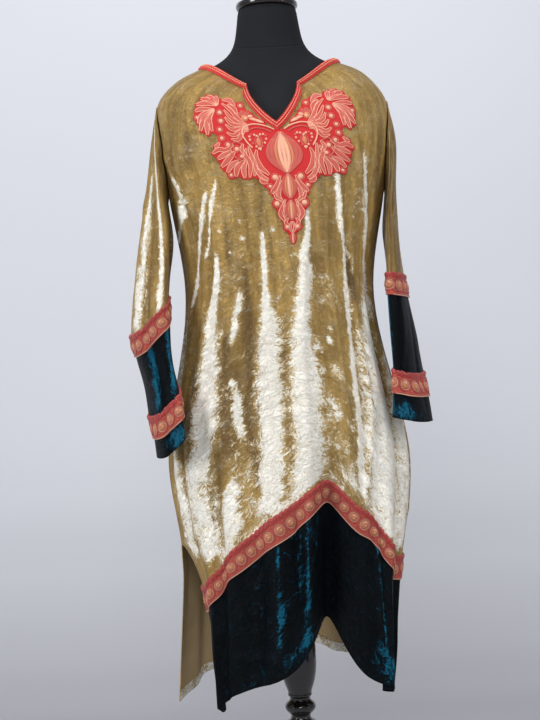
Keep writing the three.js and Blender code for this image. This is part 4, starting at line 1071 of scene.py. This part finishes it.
def ribbon_cloth():
    """Coral ribbon: a tight ribbed weave, a little clouded, with gold glints."""
    shades = new_material("coral ribbon")
    uv = shades.uv()
    glint = shades.step(shades.noise(shades.stretch(uv, 500, 900, 1), 1.0), 0.58, 0.72)
    base = shades.mix(shades.noise(uv, 45.0, 3.0), (0.40, 0.036, 0.022), (0.48, 0.066, 0.040))
    base = shades.mix(shades.times(glint, 0.4), base, (0.85, 0.5, 0.3))
    ribs = shades.wave(uv, 330.0, 0.4, bands_direction="Y")
    return shades.dress({"Base Color": base, "Roughness": 0.55}, (0.5, 0.0005, ribs))


CORAL_RIBBON = ribbon_cloth()


def straight(run, b):
    return np.stack([run, np.full(len(run), b)], -1)


def dress_band(stitches, length, height):
    """Domed rounds side by side along a band of a length and height in mm, scallops above and a cord below."""
    count = max(4, round(length / 22))
    pitch, b = length / count, height * 0.54
    turn = np.linspace(0, math.tau, 25)
    for i in range(count):
        a = (i + 0.5) * pitch
        for radius, thick, thread in ((10.0, 1.0, 1), (7.9, 0.7, 2)):
            stitches.cord(round_at(a, b, radius, turn, 1.05), thick, thread, sides=5)
        stitches.disc(a, b, 7.0, 2.6, 3, sides=14)
        stitches.leaf(a - 4.2, b - 0.4, a + 3.4, b - 3.4, 3.4, 1.1, 2, bend=-1.6, base=1.9, steps=6)
        # a small peach disc high on each dome: a painted glint
        stitches.disc(a + 1.4, b + 1.0, 1.5, 0.9, 2, base=2.4, sides=7)
        if i:
            for off in (-9.92, 9.76):
                stitches.disc(i * pitch, b + off, 1.9, 1.6, 4, sides=7)
    lobes = round(length / 11)
    for i in range(lobes):
        a = (i + 0.5) * length / lobes
        stitches.disc(a, 2.4, 6.4, 2.6, 0, base=-1.0, sides=12, squash=0.82)
        stitches.cord(round_at(a, 4.4, 4.6, np.linspace(math.pi, math.tau, 9)), 0.6, 4, height=1.5, sides=5)
    run = np.linspace(0, length, max(20, int(length / 6)))
    for b, radius, thread in ((7.0, 0.9, 0), (height - 3.4, 0.8, 1), (height - 1.0, 1.0, 2)):
        stitches.cord(straight(run, b), radius, thread, sides=5)


def on_rows(points, normals, lengths, deep, closed=False):
    """Places (a along, b down, height) on a grid of rows, square to the middle row. Its columns lie at the lengths."""
    rows = points.shape[0]
    along = np.gradient(points[rows // 2], lengths, axis=0)
    fall = (points[-1] - points[0]) / deep
    lean = np.sum(along * fall, -1)

    def place(a, b, height):
        a = a - np.interp(a, lengths, lean) * (b - deep / 2)
        a = a % lengths[-1] if closed else a
        c = np.interp(a, lengths, np.arange(len(lengths)))
        r = b / deep * (rows - 1)
        c0, r0 = np.minimum(c.astype(int), len(lengths) - 2), np.clip(r.astype(int), 0, rows - 2)
        fc, fr = (c - c0)[:, None], (r - r0)[:, None]

        def at(grid):
            low = grid[r0, c0] * (1 - fc) + grid[r0, c0 + 1] * fc
            high = grid[r0 + 1, c0] * (1 - fc) + grid[r0 + 1, c0 + 1] * fc
            return low * (1 - fr) + high * fr

        return at(points) + at(normals) * height[:, None]

    return place


RIBBON_LIFT = 1.5  # mm from the cloth to the face of a ribbon


def band(name, node, points, wrap):
    """One band on a grid of points: the ribbon itself, and its embroidery as a piece on it."""
    normals, _ = skin(points, wrap)
    if wrap:
        points, normals = (np.concatenate([v, v[:, :1]], 1) for v in (points, normals))
    lengths = run_of(points[points.shape[0] // 2])
    grid_b, grid_a = np.meshgrid(np.linspace(0, BAND, points.shape[0]), lengths, indexing="ij")
    kept = (slice(None), slice(None, -1 if wrap else None))
    flat = grid_a[kept], grid_b[kept]
    ribbon = cloth(name, points[kept], flat, 1.0, CORAL_RIBBON, CORAL_RIBBON, wrap=wrap, lift=RIBBON_LIFT)
    stitches = Stitchery()
    dress_band(stitches, lengths[-1] - (0 if wrap else 2), BAND)
    trim = stitches.lay(name + "_embroidery", on_rows(points + normals * RIBBON_LIFT, normals, lengths, BAND, wrap))
    place_piece(trim, "form", "coral_band", BAND_THREAD)
    finish_cloth(ribbon, "coral_band", node, (lengths[-1] / 1000, BAND / 1000), "hung", with_pieces=[trim])


across, down = follow_seam(*along_panel(np.linspace(SEAM_ROW, SEAM_ROW + BAND, 12), 160))
band("front_hem_ribbon", "front_hem_band", body("front", across, down), wrap=False)
for side in ("left", "right"):
    high, _, high_foot, low, low_foot, _ = SLEEVE_CUTS[side]
    for level, start, end in (("upper", high, high_foot), ("lower", low, low_foot)):
        points = sleeve(side, AROUND, np.linspace(start, end, 12))
        band(f"sleeve_{level}_ribbon_{side}", f"sleeve_{level}_band_{side}", points, wrap=True)

# The neck is bound with a narrow red strip that carries two rows of twisted cord, round the neck and down both
# sides of the slit.
BINDING = 13
TWIST = 4.6  # mm from one turn of the cord to the next
for face, node, columns in (("front", "neck_binding_front", 240), ("back", "neck_binding_back", 130)):
    column = np.linspace(0, 1, columns + 1)
    top = V_DEPTH * np.maximum(0, 1 - np.abs(column - 0.5) / V_HALF) * (face == "front")
    deep = BINDING * np.where((np.abs(column - 0.5) < V_HALF - 0.001) & (face == "front"), 1.75, 1.0)
    down = top + np.linspace(0, 1, 7)[:, None] * deep
    points = body(face, np.broadcast_to(column, down.shape), down)
    normals, _ = skin(points)
    lengths = run_of(points[3])
    grid_b, grid_a = np.meshgrid(np.linspace(0, BINDING, 7), lengths, indexing="ij")
    strip = cloth(f"neck_strip_{face}", points, (grid_a, grid_b), 1.0, NECK_THREAD_PAINTED_LIGHTER, NECK_THREAD_PAINTED_LIGHTER, lift=RIBBON_LIFT,
                  thread=0 * grid_a)
    stitches = Stitchery()
    run = np.linspace(1, lengths[-1] - 1, int(lengths[-1] / 0.9))
    for b, radius, thread in ((0.06, 1.3, 0), (0.31, 2.2, 1), (0.69, 2.2, 1), (0.94, 1.3, 0)):
        stitches.cord(straight(run, b * BAND), radius, thread, sides=8, pitch=TWIST)
        # a peach slant on every turn of the coral cords: the twist, painted light as a glint
        if thread:
            for a in np.arange(4, lengths[-1] - 2, TWIST):
                stitches.leaf(a - 1.6, (b - 0.05) * BAND, a + 1.6, (b + 0.05) * BAND, 2.6, 1.3, 2, base=3.5, steps=4)
    cords = stitches.lay(f"neck_cords_{face}", on_rows(points + normals * 1.4, normals, lengths, BAND))
    place_piece(cords, "form", "red_embroidery", NECK_THREAD_PAINTED_LIGHTER)
    finish_cloth(strip, "red_embroidery", node, (lengths[-1] / 1000, BINDING / 1000), with_pieces=[cords])

# The neck motif is a corded applique: two wings of leaves and flowers beside the slit, a ribbed lotus bud in the
# middle, and smaller buds down to a point. It is embroidered on red felt in coral and peach, and sewn to the front.
MOTIF_MIDDLE = ((1088, 1150, 1215, 1270, 1320, 1370), (24, 23, 19, 12, 3, -2))


def on_front(a, b, height):
    """Places (across from the motif's middle line, height above the floor, height above the cloth) on the front."""
    x, z = a + glide(*MOTIF_MIDDLE, b), b
    across, down = np.full(x.shape, 0.5), np.full(x.shape, 150.0)
    for _ in range(14):
        here = body("front", across, down)
        side = (body("front", across + 0.002, down) - here) / 0.002
        below = (body("front", across, down + 0.5) - here) / 0.5
        off_x, off_z = x - here[:, 0], z - here[:, 2]
        scale = side[:, 0] * below[:, 2] - side[:, 2] * below[:, 0]
        across = np.clip(across + 0.8 * (off_x * below[:, 2] - off_z * below[:, 0]) / scale, 0.02, 0.98)
        down = np.clip(down + 0.8 * (off_z * side[:, 0] - off_x * side[:, 2]) / scale, 2, 700)
    normal = np.cross(side, below)
    normal /= np.linalg.norm(normal, axis=1, keepdims=True)
    normal *= np.where(normal[:, 1:2] > 0, -1, 1)
    return here + normal * (height[:, None] + 0.4)


motif = Stitchery()


def mirrored(points):
    points = np.asarray(points, float)
    return (points, points * (-1, 1))


def leaf_of(points, width, thread=1, cords=2, tip=0.55, height=1.8):
    """A curved leaf with a corded edge, drawn on both sides of the motif."""
    for path in mirrored(points):
        motif.plume(path, width * 0.78, height, thread, outline=cords, tip=tip)


def ringed_dot(a, b, radius=3.3):
    """A domed dot within a ring of cord, on both sides."""
    turn = np.linspace(0, math.tau, 17)
    for sign in (1, -1):
        motif.disc(sign * a, b, radius, 2.5, 2, base=0.4, sides=12)
        motif.cord(round_at(sign * a, b, radius + 1.7, turn), 0.75, 4, height=0.7)
        motif.covered.append((np.array([(sign * a, b)]), np.array([radius + 2.4])))


def scroll(points, radius=0.9, thread=2):
    """A smooth cord through a few points, on both sides."""
    for path in mirrored(points):
        share = np.linspace(0, len(path) - 1, 9 * len(path))
        motif.cord(glide(np.arange(len(path)), path, share), radius, thread, height=1.2)
        motif.covered.append((path, np.full(len(path), 1.0)))


# the outer flower of each wing, its petals spread from one foot
for tip_a, tip_b, wide in ((96, 1350, 9), (108, 1352, 10), (119, 1348, 10), (128, 1338, 10)):
    leaf_of([(93, 1333), ((93 + tip_a) / 2 - 1, (1333 + tip_b) / 2 + 3), (tip_a, tip_b)], wide, 1 if wide > 9 else 4)
for tip_a, tip_b, wide in ((131, 1326, 8), (130, 1304, 10), (129, 1291, 9), (119, 1283, 10), (110, 1288, 8)):
    leaf_of([(99, 1326), ((99 + tip_a) / 2 + 5, (1326 + tip_b) / 2 + 3), (tip_a, tip_b)], wide, 4 if wide > 9 else 1)
ringed_dot(130, 1315, 2.6)
# ringed dots down the middle of the wing, and feathered leaves that sweep from them to the neck
for a, b, radius in (
    (91, 1320, 3.6), (92, 1305, 3.6), (97, 1290, 3.2), (97, 1275, 3.2), (89, 1263, 3.4), (76, 1254, 3.8),
    (70, 1241, 3.0),
):
    ringed_dot(a, b, radius)
for start, bend_a, bend_b in (
    ((85, 1336), 72, 1322), ((83, 1324), 74, 1308), ((84, 1311), 76, 1298), ((86, 1298), 76, 1288),
    ((87, 1284), 76, 1278), ((82, 1272), 70, 1270),
):
    rise = bend_b - 1291
    leaf_of([start, (bend_a, bend_b), (60, 1291 + rise * 0.35), (50, 1288 + rise * 0.16)], 7.5, 1)
leaf_of([(84, 1342), (72, 1341), (64, 1330)], 8.5, 4)
leaf_of([(76, 1334), (66, 1325), (64, 1314)], 7.5, 1)
# the flower beside the neck
ringed_dot(55, 1330, 2.8)
for sign in (1, -1):
    motif.disc(sign * 52, 1307, 6.0, 3.0, 3, base=0.4, sides=14)
    motif.disc(sign * 50.5, 1306, 2.6, 1.0, 2, base=2.8, sides=10)
for tip_a, tip_b in ((62, 1316), (54, 1321), (44, 1318), (38, 1310), (32, 1302), (22, 1297)):
    out_a, out_b = (tip_a - 52) / 3, (tip_b - 1307) / 3
    path = [(52 + out_a, 1307 + out_b), (52 + 2 * out_a, 1308 + 2 * out_b), (tip_a, tip_b)]
    leaf_of(path, 6.5, 2 if tip_a < 40 else 1, cords=4)
scroll([(8, 1284), (22, 1291), (40, 1295), (56, 1291), (62, 1280), (58, 1266), (50, 1254)], 1.2)
scroll([(14, 1280), (26, 1286), (40, 1288), (52, 1284)], 0.9, 4)
# a paisley heart ringed with small dots, on each side of the big bud
for turn in range(20):
    angle = math.tau * (turn + 0.5) / 20
    ring_a = 38 + 13.2 * math.sin(angle) ** 3 * 1.05
    ring_b = 1266 + 15.5 * (0.82 * math.cos(angle) - 0.34 * math.cos(2 * angle) - 0.12 * math.cos(3 * angle))
    for sign in (1, -1):
        motif.disc(sign * ring_a, ring_b, 2.1, 2.4, 2 if turn % 3 else 4, base=0.5, sides=8)
        motif.covered.append((np.array([(sign * ring_a, ring_b)]), np.array([2.8])))
leaf_of([(38, 1250), (38, 1260), (38, 1274)], 15, 0, cords=4, tip=0.62)
leaf_of([(38, 1254), (38, 1262), (38, 1271)], 9, 3, cords=None, tip=0.62, height=3.2)
# the leaves of the wing's lower edge, spread outward and down
for path, wide, thread in (
    ([(80, 1262), (94, 1254), (106, 1256), (117, 1250)], 8.5, 1), ([(84, 1252), (98, 1246), (110, 1240)], 9, 4),
    ([(80, 1250), (92, 1238), (106, 1226)], 10, 1), ([(76, 1234), (88, 1228), (98, 1216)], 9, 4),
    ([(66, 1234), (80, 1222), (84, 1208)], 10, 1), ([(62, 1236), (70, 1220), (70, 1204)], 9, 4),
    ([(60, 1254), (64, 1242), (58, 1226), (62, 1204)], 8.5, 1), ([(64, 1262), (68, 1252), (62, 1242)], 7, 4),
    ([(102, 1268), (108, 1262), (112, 1262)], 7, 4), ([(56, 1258), (54, 1240), (50, 1222), (54, 1206)], 8, 4),
):
    leaf_of(path, wide, thread)
ringed_dot(92, 1211, 2.8)
scroll([(66, 1262), (78, 1266), (88, 1254), (82, 1242), (70, 1232)], 1.0, 4)


def bud(top, foot, width, ribs):
    """A ribbed bud: curved ribs side by side from its foot to its tip, the middle ones of pale satin."""
    for k in range(-ribs, ribs + 1):
        out = k / (ribs + 0.5) * width / 2
        thread = 2 if abs(k) <= ribs * 0.3 else (3 if abs(k) <= ribs * 0.55 else 1)
        edge = 4 if abs(k) > ribs * 0.3 else 2
        path = [(share * out, foot + (top - foot) * up)
                for share, up in ((0.14, 0), (0.86, 0.28), (1, 0.5), (0.72, 0.74), (0.06, 1))]
        rib = width / (2 * ribs + 1) * 0.66
        motif.plume(path, rib, 2.9 - 0.2 * abs(k), thread, outline=edge, base=0.7, steps=18, tip=0.5)


bud(1279, 1209, 60, 4)
bud(1207, 1166, 27, 2)
bud(1163, 1131, 21, 2)
bud(1110, 1092, 9, 1)
for a, b, radius in ((21, 1202, 4.6), (31, 1187, 3.0), (22.5, 1158, 4.4), (8.5, 1119, 3.6)):
    ringed_dot(a, b, radius)
for path, wide, thread in (
    ([(44, 1250), (47, 1236), (42, 1220), (30, 1206)], 10, 1), ([(52, 1232), (50, 1218), (42, 1204), (32, 1198)], 8, 4),
    ([(44, 1204), (42, 1196), (34, 1193)], 8, 1), ([(12, 1204), (19, 1190), (26, 1180), (31, 1176)], 8.5, 1),
    ([(10, 1196), (17, 1180), (18, 1168), (12, 1160)], 7.5, 4), ([(26, 1178), (22, 1168), (14, 1164)], 6, 1),
    ([(8, 1164), (15, 1150), (18, 1140), (12, 1128)], 7.5, 1), ([(12, 1160), (10, 1146), (12, 1134)], 5, 4),
    ([(6, 1134), (11, 1126), (3, 1118)], 5.5, 1), ([(1, 1128), (4, 1118), (1, 1110)], 4.5, 4),
):
    leaf_of(path, wide, thread)


FELT_STEP = 1.8  # mm between the points of the felt
FELT_MARGIN = 1.9  # mm that the felt reaches past every shape


def felt_ground():
    """The felt fills the gaps and reaches a little past every shape. Returns the piece and its area in m2."""
    filled = [
        (0, 1262, 22), (20, 1266, 18), (38, 1268, 18), (56, 1272, 18), (58, 1290, 12), (30, 1285, 8), (60, 1250, 18),
        (72, 1284, 18), (76, 1300, 14), (84, 1322, 12), (98, 1322, 10), (108, 1330, 12), (114, 1308, 11),
        (78, 1236, 16), (92, 1246, 12), (88, 1266, 12), (44, 1226, 16), (20, 1222, 18), (0, 1210, 22), (24, 1202, 12),
        (14, 1180, 13), (0, 1170, 16), (8, 1148, 11), (0, 1132, 11), (0, 1118, 6), (58, 1216, 12),
    ]
    spots = [(np.array((sign * a, b)), wide) for a, b, wide in filled for sign in (1, -1)]
    spots += [(spot, wide + FELT_MARGIN) for path, half in motif.covered for spot, wide in zip(path, half)]
    a, b = np.meshgrid(np.arange(-142, 143, FELT_STEP), np.arange(1078, 1368, FELT_STEP), indexing="ij")
    drawn = np.stack([a, b], -1)
    past, nearest = np.full(a.shape, 1e9), np.zeros(drawn.shape)
    for spot, wide in spots:
        away = np.linalg.norm(drawn - spot, axis=-1) - wide
        closer = away < past
        past[closer] = away[closer]
        nearest[closer] = spot + (drawn - spot)[closer] * (wide / (away + wide)[closer])[:, None]
    near = past < 5.4
    kept = near.copy()
    for up in range(-3, 4):
        for over in range(-3, 4):
            if up * up + over * over < 11:
                kept &= np.roll(near, (up, over), (0, 1))
    kept |= past < 0
    cells = kept[:-1, :-1] | kept[1:, :-1] | kept[:-1, 1:] | kept[1:, 1:]
    edge = ~kept & (past < 2.6)
    drawn[edge] = nearest[edge]
    number, used = np.full(a.shape, -1), np.zeros(a.shape, bool)
    for di in (0, 1):
        for dj in (0, 1):
            used[di : a.shape[0] - 1 + di, dj : a.shape[1] - 1 + dj] |= cells
    number[used] = np.arange(used.sum())
    i, j = np.nonzero(cells)
    faces = np.stack([number[i, j], number[i, j + 1], number[i + 1, j + 1], number[i + 1, j]], -1)
    points = on_front(*drawn[used].T, np.full(used.sum(), 1.0))
    piece = new_piece("neck_motif_felt", points, faces.tolist(), drawn[used][faces], {})
    if sum(polygon.normal.y for polygon in piece.data.polygons) > 0:
        piece.data.flip_normals()
    shape_by(piece, "SOLIDIFY", thickness=0.0009, offset=-1)
    bpy.ops.object.shade_smooth()
    return piece, kept.sum() * FELT_STEP * FELT_STEP / 1e6


def red_felt():
    """Red wool felt, matte and a little fuzzy."""
    shades = new_material("red felt")
    fuzz = shades.noise(shades.uv(), 700.0, 3.0)
    base = shades.mix(fuzz, (0.44, 0.008, 0.010), (0.58, 0.018, 0.018))
    return shades.dress({"Base Color": base, "Roughness": 0.85}, (0.5, 0.0004, fuzz))


felt, felt_area = felt_ground()
stitched = motif.lay("neck_motif_embroidery", on_front)
place_piece(stitched, "form", "red_embroidery", EMBROIDERY)
felt.data.materials.append(red_felt())
finish_cloth(felt, "red_embroidery", "neck_motif", (0.26, 0.27), area=felt_area, with_pieces=[stitched])

# The room is a pale floor that curves up into a pale wall behind, open from behind, with soft lights in front and
# at both sides.
sweep = [(-3.2, 0.0), (0.9, 0.0), (1.1, 0.02), (1.28, 0.09), (1.42, 0.2), (1.5, 0.36), (1.53, 0.6), (1.53, 3.6)]
mesh = bpy.data.meshes.new("room")
mesh.from_pydata([(x, y, z - 0.0005) for y, z in sweep for x in (-3.4, 3.4)], [],
                 [(2 * i, 2 * i + 1, 2 * i + 3, 2 * i + 2) for i in range(len(sweep) - 1)])
room = bpy.data.objects.new("room", mesh)
bpy.context.scene.collection.objects.link(room)
pick(room)
rounding = room.modifiers.new("rounding", "SUBSURF")
rounding.subdivision_type = "SIMPLE"
rounding.levels = rounding.render_levels = 2
bpy.ops.object.shade_smooth()
shades = new_material("pale wall")
place = shades.place()
plain = shades.mix(shades.noise(place, 1.2, 3.0), (0.63, 0.65, 0.70), (0.68, 0.69, 0.73))
# painted shade: the floor and the foot of the wall are painted darker, fading to the plain pale wall by 0.75 m up
high = shades.step(shades.take("SeparateXYZ", {"Vector": place}, "Z"), -0.35, 0.75)
wall_with_painted_shade = shades.dress({"Base Color": shades.mix(high, (0.30, 0.30, 0.32), plain), "Roughness": 0.9})
behind, clear = shades.take("NewGeometry", output="Backfacing"), shades.take("BsdfTransparent")
either = shades.take("MixShader", {0: behind, 1: shades.surface.outputs[0], 2: clear})
shades.plug(shades.output.inputs["Surface"], either)
room.data.materials.append(wall_with_painted_shade)


def soft_light(name, place, aim, size, watts, colour=(1, 1, 1)):
    light = bpy.data.lights.new(name, "AREA")
    light.shape, light.size, light.size_y = "RECTANGLE", size[0], size[1]
    light.energy, light.color = watts, colour
    lamp = bpy.data.objects.new(name, light)
    bpy.context.scene.collection.objects.link(lamp)
    lamp.location = place
    away = np.array(place) - np.array(aim)
    tilt, turn = math.atan2(math.hypot(away[0], away[1]), away[2]), math.atan2(away[1], away[0]) + math.pi / 2
    lamp.rotation_euler = (tilt, 0, turn)


soft_light("window left", (-2.2, -1.7, 1.9), (0, 0, 0.95), (0.8, 1.8), 49)
soft_light("window right", (2.3, -1.4, 1.8), (0, 0, 0.95), (0.6, 1.8), 28)
soft_light("front", (-0.4, -3.4, 2.6), (0, 0, 0.9), (1.6, 1.0), 47)
soft_light("wall wash", (0, -0.4, 3.2), (0, 1.5, 1.3), (2.4, 0.6), 27)
world = bpy.data.worlds.new("studio")
bpy.context.scene.world = world
world.use_nodes = True
world.node_tree.nodes["Background"].inputs[0].default_value = (0.80, 0.82, 0.88, 1)
world.node_tree.nodes["Background"].inputs[1].default_value = 0.32

lens = bpy.data.cameras.new("camera")
lens.sensor_fit, lens.sensor_height, lens.lens = "VERTICAL", 36, 68.57
camera = bpy.data.objects.new("camera", lens)
bpy.context.scene.collection.objects.link(camera)
camera.location = (-0.024, -2.4, 0.9025)
camera.rotation_euler = (math.radians(90), math.radians(2.78), 0)
bpy.context.scene.camera = camera
bpy.context.scene.view_settings.view_transform = "Standard"
